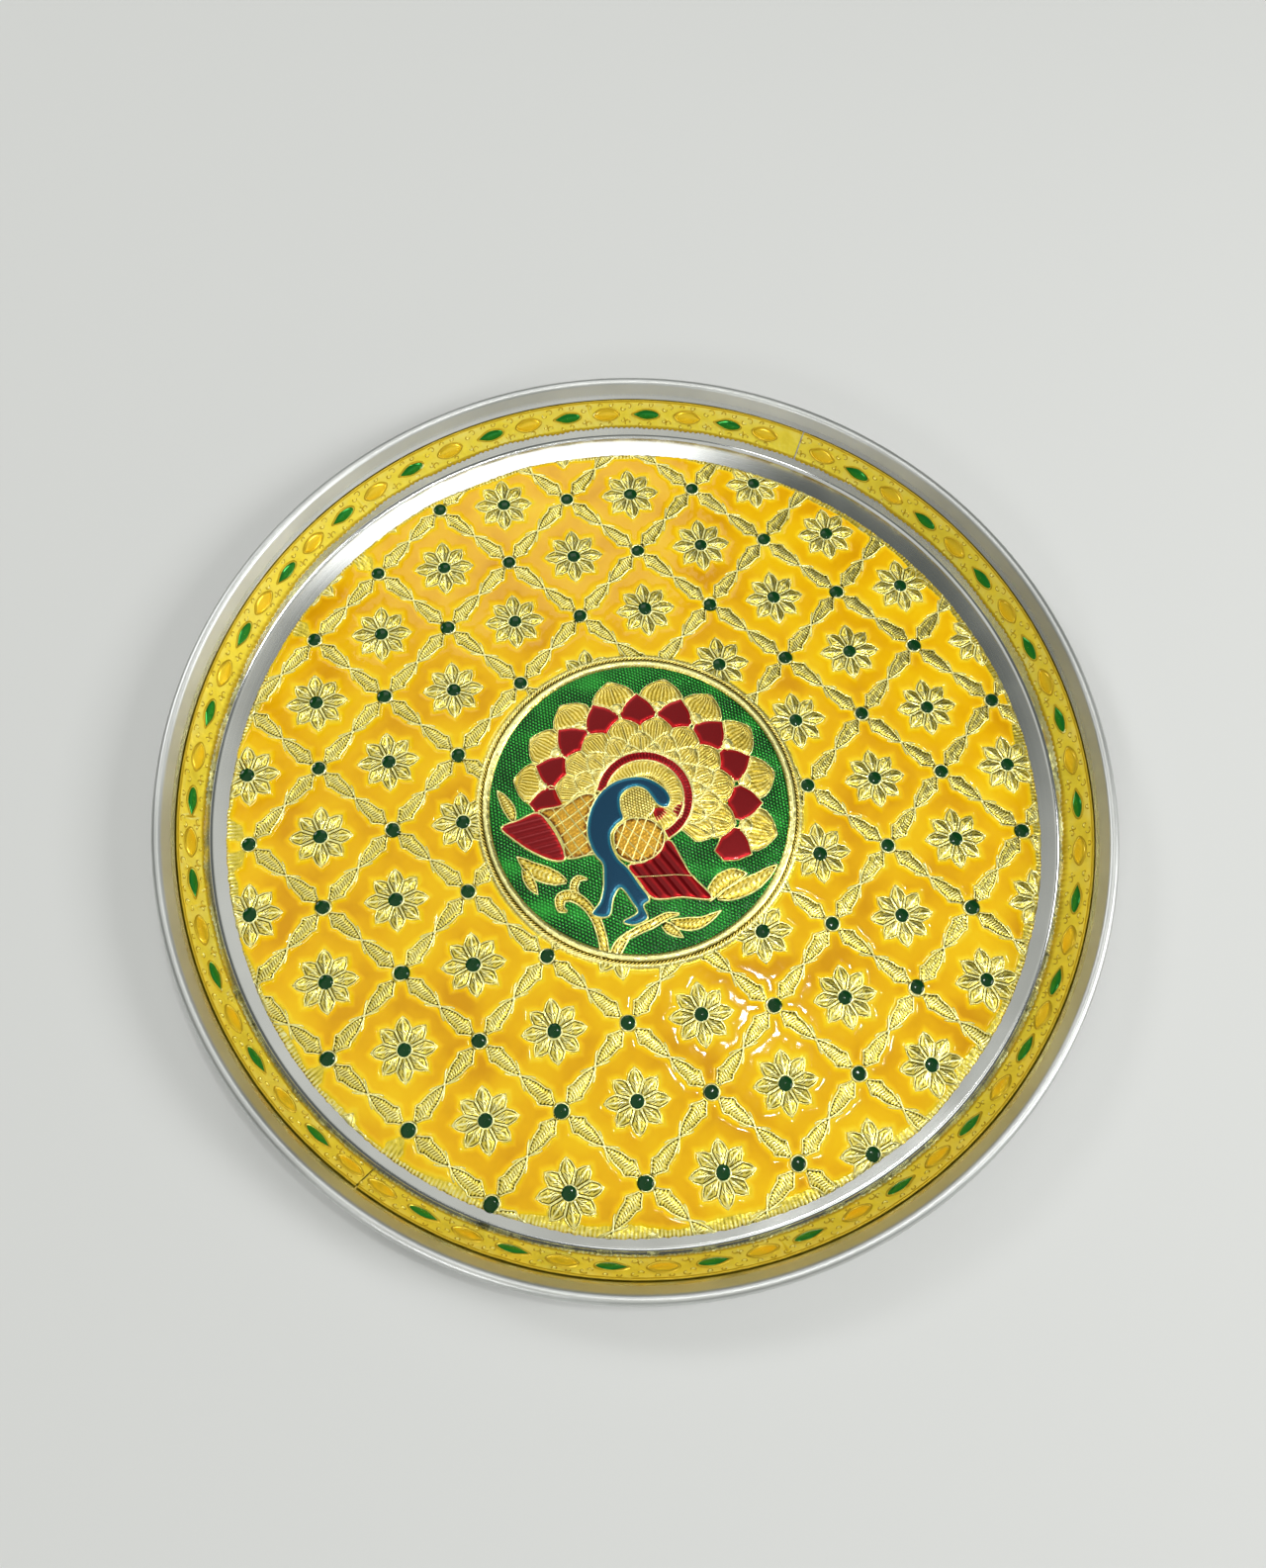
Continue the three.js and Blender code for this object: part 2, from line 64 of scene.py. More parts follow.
camera = bpy.data.objects.new("camera", bpy.data.cameras.new("camera"))
camera.data.sensor_fit = "VERTICAL"
camera.data.sensor_height = 36
camera.data.lens = 24.67
turn = Matrix((RIGHT, UP, BACK)).transposed()
camera.matrix_world = Matrix.Translation(EYE) @ turn.to_4x4()
bpy.context.scene.collection.objects.link(camera)
bpy.context.scene.camera = camera
print("camera height above the table, mm:", round(EYE.z / MM, 1))

# %% [markdown]
# ## Small tools for materials
# A hex colour is how paint charts and screens give a colour, but the renderer works in linear
# light, so one function turns the first into the second. A second one adds a node with its
# settings and its links in one line, which keeps each material short enough to read.

# %% Colour and node helpers
def linear(hex_colour):
    values = [int(hex_colour[i : i + 2], 16) / 255 for i in (1, 3, 5)]
    return [v / 12.92 if v <= 0.04045 else ((v + 0.055) / 1.055) ** 2.4 for v in values] + [1]


def add(material, kind, settings=None, **links):
    """Adds a node. Settings are its own properties or the values of its inputs."""
    tree = material.node_tree
    node = tree.nodes.new(kind)
    for name, value in (settings or {}).items():
        if name in node.inputs:
            node.inputs[name].default_value = value
        else:
            setattr(node, name, value)
    for name, source in links.items():
        wanted = name.replace("_", " ")
        taken = [s for s in node.inputs if s.name == wanted and s.enabled and not s.is_linked]
        tree.links.new(source, taken[0])
    return node


def new_material(name):
    """An empty material with its shader; the shader is the second value."""
    material = bpy.data.materials.new(name)
    material.use_nodes = True
    return material, material.node_tree.nodes["Principled BSDF"]


def ramp(material, factor, stops, interpolation="LINEAR"):
    """A colour ramp: stops are (place, hex colour)."""
    node = add(material, "ShaderNodeValToRGB", Fac=factor)
    node.color_ramp.interpolation = interpolation
    while len(node.color_ramp.elements) < len(stops):
        node.color_ramp.elements.new(0.5)
    for element, (place, colour) in zip(node.color_ramp.elements, stops):
        element.position = place
        element.color = linear(colour)
    return node.outputs["Color"]


print("mid grey in linear light:", round(linear("#808080")[0], 3))

# %% [markdown]
# ## From drawings to meshes
# Nearly everything here is relief on a sheet, so each form is first drawn flat, as x, y and a
# height above the foil. A ribbon is the main form: a line with a width, and a cross-section
# that depends on how far a point is from the ribbon's edge. Petals, leaves, wires and scrolls
# are all ribbons. Drawing them flat keeps every ridge line sharp, which a bump map or a height
# picture of the same size would blur.

# %% Grids, ribbons and wires
def grid(points, closed=False):
    """Vertices in rows and columns, and the quads between them."""
    rows, columns = points.shape[:2]
    number = np.arange(rows * columns).reshape(rows, columns)
    if closed:
        number = np.vstack([number, number[:1]])
    corners = [number[:-1, :-1], number[1:, :-1], number[1:, 1:], number[:-1, 1:]]
    return points.reshape(-1, 3), np.stack(corners, -1).reshape(-1, 4)


def joined(parts):
    """Several (vertices, quads) as one."""
    shift = np.cumsum([0] + [len(vertices) for vertices, _ in parts])
    quads = [quads + start for (_, quads), start in zip(parts, shift)]
    return np.vstack([vertices for vertices, _ in parts]), np.vstack(quads)


def ribbon(
    spine, half, section, offsets, inner=(0.5,), closed=False, ribs=0, lines=0, slant=0, veined=True
):
    """Relief along a line. Section gives height by distance from the edge; ribs stand across
    the ribbon and lines run along it, each given by its height. Slant leans the ribs: like the
    veins of a leaf, or else all one way."""
    spine = np.asarray(spine, float)
    half = np.broadcast_to(half, len(spine)).astype(float)
    if closed:
        step = np.roll(spine, -1, 0) - np.roll(spine, 1, 0)
    else:
        step = np.gradient(spine, axis=0)
    step /= np.linalg.norm(step, axis=1)[:, None] + 1e-9
    side = np.stack([-step[:, 1], step[:, 0]], 1)
    reach = [np.maximum(half - offset, 0) for offset in offsets]
    reach += [reach[-1] * share for share in inner]
    across = np.stack(reach + [0 * half] + [-r for r in reach[::-1]], 1)
    from_edge = half[:, None] - abs(across)
    height = np.interp(from_edge, *section)
    free = np.clip((from_edge - offsets[-1] + 0.1) / 0.3, 0, 1)
    height += ribs * free * (-1) ** np.arange(len(spine))[:, None]
    height += np.reshape(lines, (-1, 1)) * free * (-1) ** np.arange(across.shape[1])[None, :]
    lean = slant * (abs(across) if veined else across) * free
    flat = spine[:, None, :] + across[..., None] * side[:, None, :] + lean[..., None] * step[:, None, :]
    return grid(np.dstack([flat, height]), closed)


def wire(path, width, rise, foot=0.0, closed=False):
    """A round-topped raised line."""
    section = ([-0.15, 0, width * 0.25, width / 2], [foot, rise * 0.55, rise * 0.9, rise])
    return ribbon(path, width / 2, section, (-0.15, 0, width * 0.25), (), closed)


def moved(part, angle=0, x=0, y=0):
    """A drawing turned by an angle about its origin and then shifted."""
    vertices, quads = part
    c, s = math.cos(angle), math.sin(angle)
    turned = vertices @ np.array([[c, s, 0], [-s, c, 0], [0, 0, 1]])
    return turned + [x, y, 0], quads


def polar(radius, angle):
    return np.array([radius * np.cos(angle), radius * np.sin(angle)]).T


def smooth(points, steps=5, closed=True):
    """A curve through the points."""
    p = np.asarray(points, float)
    before, after = np.roll(p, 1, 0), np.roll(p, -1, 0)
    further = np.roll(p, -2, 0)
    if not closed:
        before[0], after[-1], further[-2:] = p[0], p[-1], p[-1]
    t = (np.arange(steps) / steps)[None, :, None]
    p0, p1, p2, p3 = (q[:, None, :] for q in (before, p, after, further))
    square, cube = 2 * p0 - 5 * p1 + 4 * p2 - p3, 3 * p1 - p0 - 3 * p2 + p3
    curve = (p1 + 0.5 * t * (p2 - p0 + t * (square + t * cube))).reshape(-1, 2)
    return curve if closed else np.vstack([curve[: (len(p) - 1) * steps], p[-1:]])


random = np.random.default_rng(12)


def waver(x, y, length, seed):
    """Smooth irregular waves of about the given length, mostly between -1 and 1."""
    dice = np.random.default_rng(seed)
    total = 0
    for _ in range(6):
        way = dice.uniform(0, 2 * math.pi)
        scale = 2 * math.pi / (length * dice.uniform(0.7, 1.5))
        total = total + np.sin(scale * (x * math.cos(way) + y * math.sin(way)) + dice.uniform(0, 7))
    return total / 3.5


print("a test ribbon has", len(ribbon([[0, 0], [5, 0]], 1, ([0, 1], [0, 1]), (0,))[1]), "faces")

# %% [markdown]
# ## From meshes to pieces
# The one place where a drawing becomes a Blender object. Every face is turned so that it faces
# out of the foil, points that meet are merged, and the piece is tied to the CAD body. Values
# that a material needs at each point, such as the depth of an enamel, are kept on the mesh as
# marks: the shader can read them by name.

# %% Make a piece
SHEET = 0.7  # steel
FOIL = 0.3  # foil with the backing under it
FLOOR_FACE = SHEET + FOIL  # top of the floor foil
MEDALLION_FACE = SHEET + 2 * FOIL


def facing_up(vertices, quads):
    a, b, c, d = (vertices[quads[:, i], :2] for i in range(4))
    p, q = c - a, d - b
    area = p[:, 0] * q[:, 1] - p[:, 1] * q[:, 0]
    quads = quads[abs(area) > 1e-7]
    area = area[abs(area) > 1e-7]
    return np.where((area < 0)[:, None], quads[:, ::-1], quads)


def make_piece(name, vertices, quads, marks, material, replaces=()):
    """Marks are values kept on the mesh for its material, one for each vertex."""
    mesh = bpy.data.meshes.new(name)
    mesh.from_pydata((vertices * MM).tolist(), [], quads.tolist())
    for mark, values in marks.items():
        mesh.attributes.new(mark, "FLOAT", "POINT").data.foreach_set("value", np.float32(values))
    work = bmesh.new()
    work.from_mesh(mesh)
    bmesh.ops.remove_doubles(work, verts=work.verts, dist=1e-6)
    bmesh.ops.dissolve_degenerate(work, edges=work.edges, dist=1e-7)
    loose = [v for v in work.verts if not v.link_faces]
    bmesh.ops.delete(work, geom=loose, context="VERTS")
    work.to_mesh(mesh)
    work.free()
    mesh.polygons.foreach_set("use_smooth", [True] * len(mesh.polygons))
    mesh.materials.append(material)
    piece = bpy.data.objects.new(name, mesh)
    bpy.context.scene.collection.objects.link(piece)
    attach(piece, "root")
    if replaces:
        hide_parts(*replaces)
    print(name, "faces:", len(mesh.polygons))
    return piece


def on_floor(name, part, face, material, slot, replaces=(), **marks):
    vertices, quads = part
    quads = facing_up(vertices, quads)
    return make_piece(name, vertices + [0, 0, face], quads, marks, material, replaces)


# %% [markdown]
# ## Stainless steel
# Sheet steel is spun and polished on a lathe, which leaves fine rings round the centre. They
# catch the light as soft streaks, so a very small bump follows the distance from the axis. The
# shine varies a little in wide patches, and the lip above the band, where the polishing wheel
# hardly reaches, is duller. The steel is a metal: metallic 1 and the default IOR.

# %% Polished stainless steel
LIP_START, LIP_END = 14 * MM, 15.5 * MM  # heights between which the shine falls off
steel, shader = new_material("polished stainless steel")
shader.inputs["Metallic"].default_value = 1
place = add(steel, "ShaderNodeTexCoord").outputs["Object"]
axes = add(steel, "ShaderNodeSeparateXYZ", Vector=place)
level = add(steel, "ShaderNodeCombineXYZ", X=axes.outputs["X"], Y=axes.outputs["Y"])
radius = add(steel, "ShaderNodeVectorMath", {"operation": "LENGTH"}, Vector=level.outputs[0])
along = add(steel, "ShaderNodeCombineXYZ", X=radius.outputs["Value"], Z=axes.outputs["Z"])
lines = add(
    steel, "ShaderNodeTexNoise", {"Scale": 1 / (0.6 * MM), "Detail": 2.0}, Vector=along.outputs[0]
)
clouds = add(steel, "ShaderNodeTexNoise", {"Scale": 1 / (30 * MM), "Detail": 3.0}, Vector=place)
worn = add(
    steel, "ShaderNodeMapRange", {"To Min": 0.1, "To Max": 0.2}, Value=clouds.outputs["Fac"]
)
lip = add(
    steel,
    "ShaderNodeMapRange",
    {"From Min": LIP_START, "From Max": LIP_END, "To Max": 0.25},
    Value=axes.outputs["Z"],
)
dull = add(steel, "ShaderNodeMath", {"operation": "ADD"})
tint = ramp(steel, clouds.outputs["Fac"], [(0.3, "#C6C8C6"), (0.7, "#D6D8D6")])
bump = add(
    steel, "ShaderNodeBump", {"Strength": 0.15, "Distance": 0.03 * MM}, Height=lines.outputs["Fac"]
)
links = steel.node_tree.links
links.new(worn.outputs["Result"], dull.inputs[0])
links.new(lip.outputs["Result"], dull.inputs[1])
links.new(dull.outputs[0], shader.inputs["Roughness"])
links.new(tint, shader.inputs["Base Color"])
links.new(bump.outputs["Normal"], shader.inputs["Normal"])
print("steel nodes:", len(steel.node_tree.nodes))

# %% [markdown]
# ## The plate
# One sheet of steel: a flat floor, a rounded corner, a sloping wall, and an edge rolled
# outwards and under into a bead, so that no sharp edge is left. A turned body is best made by
# turning its profile. The profile goes up the inside, round the bead and back down outside.

# %% Turn the plate
RIM = 150  # radius over the bead
BEAD = 1.8  # the bead's outer radius in the CAD model, whose bead has flat facets
BEAD_ROUND = 1.76  # the same for a smooth bead that stays within them
BEAD_CENTRE = np.array([148.18, 16.86])
CURL = math.radians(280)  # how far the edge is curled round
WALL_ANGLE = math.radians(62)
WALL_LENGTH = 19.3
WALL_SIDE = WALL_ANGLE + math.pi / 2  # direction square to the wall, inwards and up
FILLET = 1.6
WALL_FOOT = RIM - BEAD + BEAD * math.cos(WALL_SIDE) - WALL_LENGTH * math.cos(WALL_ANGLE)
FLOOR_RADIUS = WALL_FOOT - FILLET * math.tan(WALL_ANGLE / 2)
FLAT = 128  # the last ring of the flat floor
AXIS_HOLE = 0.05  # radius of the innermost ring, closed by one face


def fillet(radius, steps=8):
    angle = np.linspace(0, WALL_ANGLE, steps)
    return np.array([FLOOR_RADIUS, SHEET + FILLET]) + polar(radius, angle - math.pi / 2)


def rolled(radius, steps=22):
    return BEAD_CENTRE + polar(radius, np.linspace(WALL_SIDE, WALL_SIDE - CURL, steps))


floor_inside = [[r, SHEET] for r in (AXIS_HOLE, 40, 80, 110, FLAT)]
floor_outside = [[r, 0] for r in (FLAT, 80, AXIS_HOLE)]
up_inside = [floor_inside, fillet(FILLET), rolled(BEAD_ROUND)]
down_outside = [rolled(BEAD_ROUND - SHEET)[::-1], fillet(FILLET + SHEET)[::-1], floor_outside]
profile = np.vstack(up_inside + down_outside)
bearings = np.linspace(0, 2 * math.pi, 288, endpoint=False)
turned = np.array([[[r * math.cos(a), r * math.sin(a), z] for r, z in profile] for a in bearings])
vertices, quads = grid(turned, closed=True)
plate = make_piece("steel_plate_body", vertices, quads, {}, steel, ["steel_plate"])
work = bmesh.new()
work.from_mesh(plate.data)
bmesh.ops.holes_fill(work, edges=[e for e in work.edges if e.is_boundary])
bmesh.ops.recalc_face_normals(work, faces=work.faces)
work.to_mesh(plate.data)
work.free()
print("wall foot radius, mm:", round(WALL_FOOT, 2), "floor radius:", round(FLOOR_RADIUS, 2))

# %% [markdown]
# ## Embossed foil
# Thin aluminium foil lacquered gold and pressed in a die. It is a mirror at heart, so the
# metal stays fairly smooth; what makes it sparkle is its shape and the fine grain of the die.
# The colour holds painted light: painted shade, olive, in the grooves and a pale painted highlight
# on the crests. The node Geometry gives how pointed the mesh is at a place, and that tells crests
# from grooves. The band's lacquer is thicker and partly covers the metal, so its metallic value is a
# half.

# %% Foil material
def embossed_foil(name, groove_shade, middle, crest, grain, roughness, metallic=1.0):
    """Grain is the size of the die's texture in millimetres."""
    material, shader = new_material(name)
    shader.inputs["Metallic"].default_value = metallic
    place = add(material, "ShaderNodeTexCoord").outputs["Object"]
    die = {"Scale": 1 / (grain * MM), "Detail": 3.0}
    fine = add(material, "ShaderNodeTexNoise", die, Vector=place)
    patches = {"Scale": 1 / (14 * MM), "Detail": 2.0}
    wide = add(material, "ShaderNodeTexNoise", patches, Vector=place)
    form = add(material, "ShaderNodeNewGeometry").outputs["Pointiness"]
    crests = {"From Min": 0.465, "From Max": 0.535, "To Max": 0.9}
    relief_light = add(material, "ShaderNodeMapRange", crests, Value=form)
    mixed = add(material, "ShaderNodeMath", {"operation": "MULTIPLY_ADD", "use_clamp": True})
    links = material.node_tree.links
    links.new(wide.outputs["Fac"], mixed.inputs[0])
    mixed.inputs[1].default_value = 0.2
    links.new(relief_light.outputs["Result"], mixed.inputs[2])
    # Painted light: the groove colour is painted shade and the crest colour a painted highlight.
    colour = ramp(material, mixed.outputs[0], [(0.3, groove_shade), (0.56, middle), (0.85, crest)])
    links.new(colour, shader.inputs["Base Color"])
    dull = add(
        material,
        "ShaderNodeMapRange",
        {"To Min": roughness - 0.06, "To Max": roughness + 0.08},
        Value=fine.outputs["Fac"],
    )
    links.new(dull.outputs["Result"], shader.inputs["Roughness"])
    soft = {"Scale": 1 / (2.4 * MM), "Detail": 2.0}
    uneven = add(material, "ShaderNodeTexNoise", soft, Vector=place)
    dents = {"Strength": 0.5, "Distance": 0.6 * MM}
    crumpled = add(material, "ShaderNodeBump", dents, Height=uneven.outputs["Fac"])
    bump = add(
        material,
        "ShaderNodeBump",
        {"Strength": 0.5, "Distance": 0.06 * MM},
        Height=fine.outputs["Fac"],
        Normal=crumpled.outputs["Normal"],
    )
    links.new(bump.outputs["Normal"], shader.inputs["Normal"])
    return material


# Colours: painted groove shade, middle, painted crest highlight.
floor_gold = embossed_foil("pale gold foil", "#2A2604", "#ECD64E", "#FFFBB4", 0.4, 0.28)
band_gold = embossed_foil("deep gold foil", "#C8A81C", "#FFEC4C", "#FFFCB0", 0.5, 0.36, 0.5)
print("foils:", floor_gold.name, band_gold.name)

# %% [markdown]
# ## The floor foil
# A disc of foil, trimmed by hand and pressed down along its edge, where it has crinkled in
# small radial pleats. It is made as rings round its centre, with a wavering edge. The pleats
# are strongest at the cut and die out a few millimetres in.

# %% The base of the floor foil
LATTICE_START = np.array([10.0, -3.2])  # a crossing
PITCH = np.array([22.6, 23.1])
MEDALLION = np.array([-0.5, -3.7])
BORDER_OUTER = 53.4
FOIL_CENTRE = np.array([-0.7, -2.4])
FOIL_RADIUS = 132.0


def foil_edge(angle):
    """Radius of the trimmed edge about the foil's own centre."""
    x, y = FOIL_RADIUS * np.cos(angle), FOIL_RADIUS * np.sin(angle)
    return FOIL_RADIUS + 0.25 * waver(x, y, 40, 3) + 0.16 * waver(x, y, 2.2, 4)


def to_edge(x, y):
    """How far a place is from the foil's trimmed edge, inwards."""
    angle = np.arctan2(y - FOIL_CENTRE[1], x - FOIL_CENTRE[0])
    return foil_edge(angle) - np.hypot(x - FOIL_CENTRE[0], y - FOIL_CENTRE[1])


PLEATS = 680  # about 1.2 mm apart
angles = np.linspace(0, 2 * math.pi, PLEATS * 4, endpoint=False)
edge_x, edge_y = FOIL_RADIUS * np.cos(angles), FOIL_RADIUS * np.sin(angles)
pleat_phase = PLEATS * angles + 1.4 * waver(edge_x, edge_y, 9, 5)
pleat_strength = 0.13 * (0.6 + 0.4 * waver(edge_x, edge_y, 22, 6))
rows = []
for step in (0, 0.35, 0.8, 1.4, 2.1, 2.9, 3.8, 4.8, 5.9, 7.1):
    ring = polar(foil_edge(angles) - step, angles) + FOIL_CENTRE
    pleat = pleat_strength * np.sin(pleat_phase) * math.exp(-step / 1.8)
    creases = 0.09 * abs(waver(ring[:, 0], ring[:, 1], 3.2, 7)) * min(step, 1)
    rows.append(np.column_stack([ring, pleat + creases - 0.24 * math.exp(-step / 0.5)]))
crinkled = grid(np.array(rows).transpose(1, 0, 2), closed=True)

coarse = angles[::8]
rows = [rows[-1][::8]]
inner = polar(BORDER_OUTER - 1, coarse) + MEDALLION
for share in (0.1, 0.25, 0.5, 0.75, 1):
    ring = rows[0][:, :2] * (1 - share) + inner * share
    rows.append(np.column_stack([ring, 0 * coarse]))
plain = grid(np.array(rows).transpose(1, 0, 2), closed=True)


def trimmed(part):
    """Cuts a drawing of the lattice at the foil's edge and at the medallion's border."""
    vertices, quads = part
    x, y = vertices[:, 0], vertices[:, 1]
    edge = to_edge(x, y)
    border = np.hypot(x - MEDALLION[0], y - MEDALLION[1]) - BORDER_OUTER
    room = np.minimum(edge, border + 0.5)
    kept = (room[quads] > 0).any(1)
    out = np.clip(0.05 - edge, 0, None)
    angle = np.arctan2(y - FOIL_CENTRE[1], x - FOIL_CENTRE[0])
    flat = vertices[:, :2] - out[:, None] * polar(np.ones(len(angle)), angle)
    height = vertices[:, 2] * np.clip(edge / 0.8, 0, 1) - 0.1 * (edge < 0.2)
    return np.column_stack([flat, height]), quads[kept]


print("edge wavers by", round(float(np.ptp(foil_edge(angles))), 2), "mm")

# %% [markdown]
# ## The lattice
# Flowers and crossings take turns on a lattice that is nearly square, 22.6 by 23.1 mm. From
# each crossing four bars run to the next crossings; a bar is two barbed leaves, tip to tip,
# with a pair of wires that cross in the middle. A petal, a leaf and a wire are drawn, and
# copies of them make the pattern. Flowers and bars are each shifted a little, as no die is
# perfect.

# %% Flowers
EDGE_OFFSETS = (-0.28, 0, 0.22, 0.5, 0.8)
PETAL_SECTION = ([-0.28, 0, 0.22, 0.5, 0.8, 1.4, 2.6], [-0.1, 0.42, 0.8, 0.26, 0.5, 0.56, 0.62])


def petal(tip, widest, root=2.3):
    """A rim, a valley and a panel; on the panel a vein and two branches, like an arrow."""
    share = np.array([0, 0.14, 0.26, 0.34, 0.4, 0.46, 0.52, 0.58, 0.64, 0.7, 0.76, 0.84, 0.92, 1, 1.045])
    places = share * (tip - root) + root
    half = widest * np.interp(share, [0, 0.52, 0.8, 1], [0.4, 1, 0.66, 0])
    spine = np.column_stack([places, 0 * places])
    part = ribbon(spine, half, PETAL_SECTION, EDGE_OFFSETS, inner=(0.75, 0.5, 0.25))
    vertices = part[0]
    across = abs(vertices[:, 1])
    along = (vertices[:, 0] - root) / (tip - root)
    on_panel = np.interp(along, [0, 0.1, 0.68, 0.84], [0, 1, 1, 0]) * (vertices[:, 2] > 0.45)
    vertices[:, 2] += 0.24 * on_panel * np.exp(-((across / 0.25) ** 2))
    slanted = along + 0.26 * across
    outer_branch = np.exp(-(((slanted - 0.62) / 0.055) ** 2))
    inner_branch = np.exp(-(((slanted - 0.4) / 0.05) ** 2))
    vertices[:, 2] += 0.2 * on_panel * np.maximum(outer_branch, inner_branch)
    vertices[vertices[:, 0] > tip, 2] = -0.1
    return part


def flower():
    petals = [moved(petal(9.5, 2.6), math.radians(a)) for a in (45, 135, 225, 315)]
    petals += [moved(petal(10.2, 2.65), math.radians(a)) for a in (0, 90, 180, 270)]
    return joined(petals)


BOSS_RING = ribbon(
    polar(np.full(20, 2.3), np.linspace(0, 2 * math.pi, 20, endpoint=False)),
    0.35,
    ([-0.15, 0, 0.15, 0.35], [0, 0.35, 0.6, 0.62]),
    (-0.15, 0, 0.2),
    (),
    closed=True,
)
print("a flower has", len(flower()[1]), "faces")

# %% Bars between crossings
BAR = float(np.hypot(*PITCH))
BAR_PLACES = np.array([0, 0.12, 0.25, 0.31, 0.36, 0.6, 0.8, 0.92, 1])  # from the neck to the waist
BAR_HALVES = np.array([0.8, 1.7, 3.0, 2.9, 2.4, 2.2, 1.45, 0.8, 0.45])
NECK = 3.0


def leaf():
    """From the waist at 0 to the neck at one crossing; the ribs are about 0.8 mm apart."""
    reach = BAR / 2 - NECK
    along = np.linspace(0, reach, 31)
    half = np.interp(1 - along / reach, BAR_PLACES, BAR_HALVES)
    section = ([-0.28, 0, 0.24, 0.5, 0.8, 2.5], [-0.1, 0.4, 0.76, 0.36, 0.5, 0.62])
    spine = np.column_stack([along, 0 * along])
    return ribbon(spine, half, section, EDGE_OFFSETS, (0.6, 0.2), ribs=0.26, slant=0.35, veined=False)


def crossing_wire(side):
    along = np.array([-4, -3.2, -2.2, -1.1, 0, 1.1, 2.2, 3.2, 4])
    across = side * np.array([-2.4, -2.2, -1.6, -0.8, 0, 0.8, 1.6, 2.2, 2.4])
    return wire(smooth(np.column_stack([along, across]), 2, closed=False), 0.6, 0.7, -0.1)


def bar():
    return joined([leaf(), moved(leaf(), math.pi), crossing_wire(1), crossing_wire(-1)])


print("a bar is", round(BAR, 1), "mm long and has", len(bar()[1]), "faces")

# %% Lay out the lattice
crossings, flowers, bars = [], [], []
for column in range(-8, 9):
    for row in range(-8, 9):
        spot = LATTICE_START + PITCH * (column, row)
        room = to_edge(*spot)
        if (column + row) % 2:
            if room > -9 and np.hypot(*(spot - MEDALLION)) > BORDER_OUTER - 9:
                flowers.append(spot)
            continue
        if room > -16:
            bars += [(spot + PITCH / 2 * (1, way), way) for way in (1, -1)]
        if room > -2 and np.hypot(*(spot - MEDALLION)) > BORDER_OUTER:
            crossings.append(spot)


def jitter(amount):
    return random.normal(0, amount, 2)


lattice = []
for spot in flowers:
    lattice.append(moved(flower(), random.normal(0, 0.02), *(spot + jitter(0.08))))
    lattice.append(moved(BOSS_RING, 0, *spot))
for spot in crossings:
    lattice.append(moved(BOSS_RING, 0, *spot))
bar_angle = math.atan2(PITCH[1], PITCH[0])
for spot, way in bars:
    lattice.append(moved(bar(), way * bar_angle + random.normal(0, 0.01), *(spot + jitter(0.08))))
relief = trimmed(joined(lattice))
sheet = joined([crinkled, plain])
on_floor("floor_foil_sheet", sheet, FLOOR_FACE, floor_gold, "floor_foil", ["floor_foil"])
on_floor("floor_foil_relief", relief, FLOOR_FACE, floor_gold, "floor_foil")
print(len(flowers), "flowers,", len(crossings), "crossings,", len(bars), "bars")

# %% [markdown]
# ## Yellow enamel
# The yellow is a cold enamel, a resin with pigment, poured between the raised forms. It finds
# its own level, and each pool rounds down to its edge, which is where it shines. It is made as
# a sheet over a square mesh: the distance from the nearest raised form says where the sheet is
# and how high it stands. The points just outside are drawn back to the edge, so that the
# outline is smooth and not stepped.

# %% Pour a pool
FULL_DEPTH = 1.6  # mm from the edge at which a pool has its full colour


def pour(x, y, distance, level, crown, run, ripple):
    """A sheet of enamel where distance is above zero; run is the width of its rounded edge."""
    pitch = x[0, 1] - x[0, 0]
    hidden = 0.3  # how far the sheet runs on under the foil's forms
    down, over = np.gradient(distance, pitch)
    steep = np.hypot(over, down).clip(0.4)
    back = np.clip(-hidden - distance, 0, 1.5 * pitch)
    flat = np.dstack([x + over / steep * back, y + down / steep * back])
    inwards = np.clip(distance, 0, None)
    height = level + crown * (1 - np.exp(-inwards / run)) + ripple
    height = np.where(distance < 0, level + 1.2 * np.maximum(distance, -hidden), height)
    vertices, quads = grid(np.dstack([flat, height]))
    deep = distance.ravel()
    wet = deep[quads] > -hidden
    kept = wet.all(1) | (wet.any(1) & (deep[quads] > -1.6 * pitch).all(1))
    return (vertices, quads[kept]), np.clip(deep / FULL_DEPTH, 0, 1)


FLOWER_SIDES = (((9.85, 0), (8.3, 1.7)), ((8.3, 1.7), (6.15, 2.55)))  # an eighth of its outline
DROP_REACH = 2.75


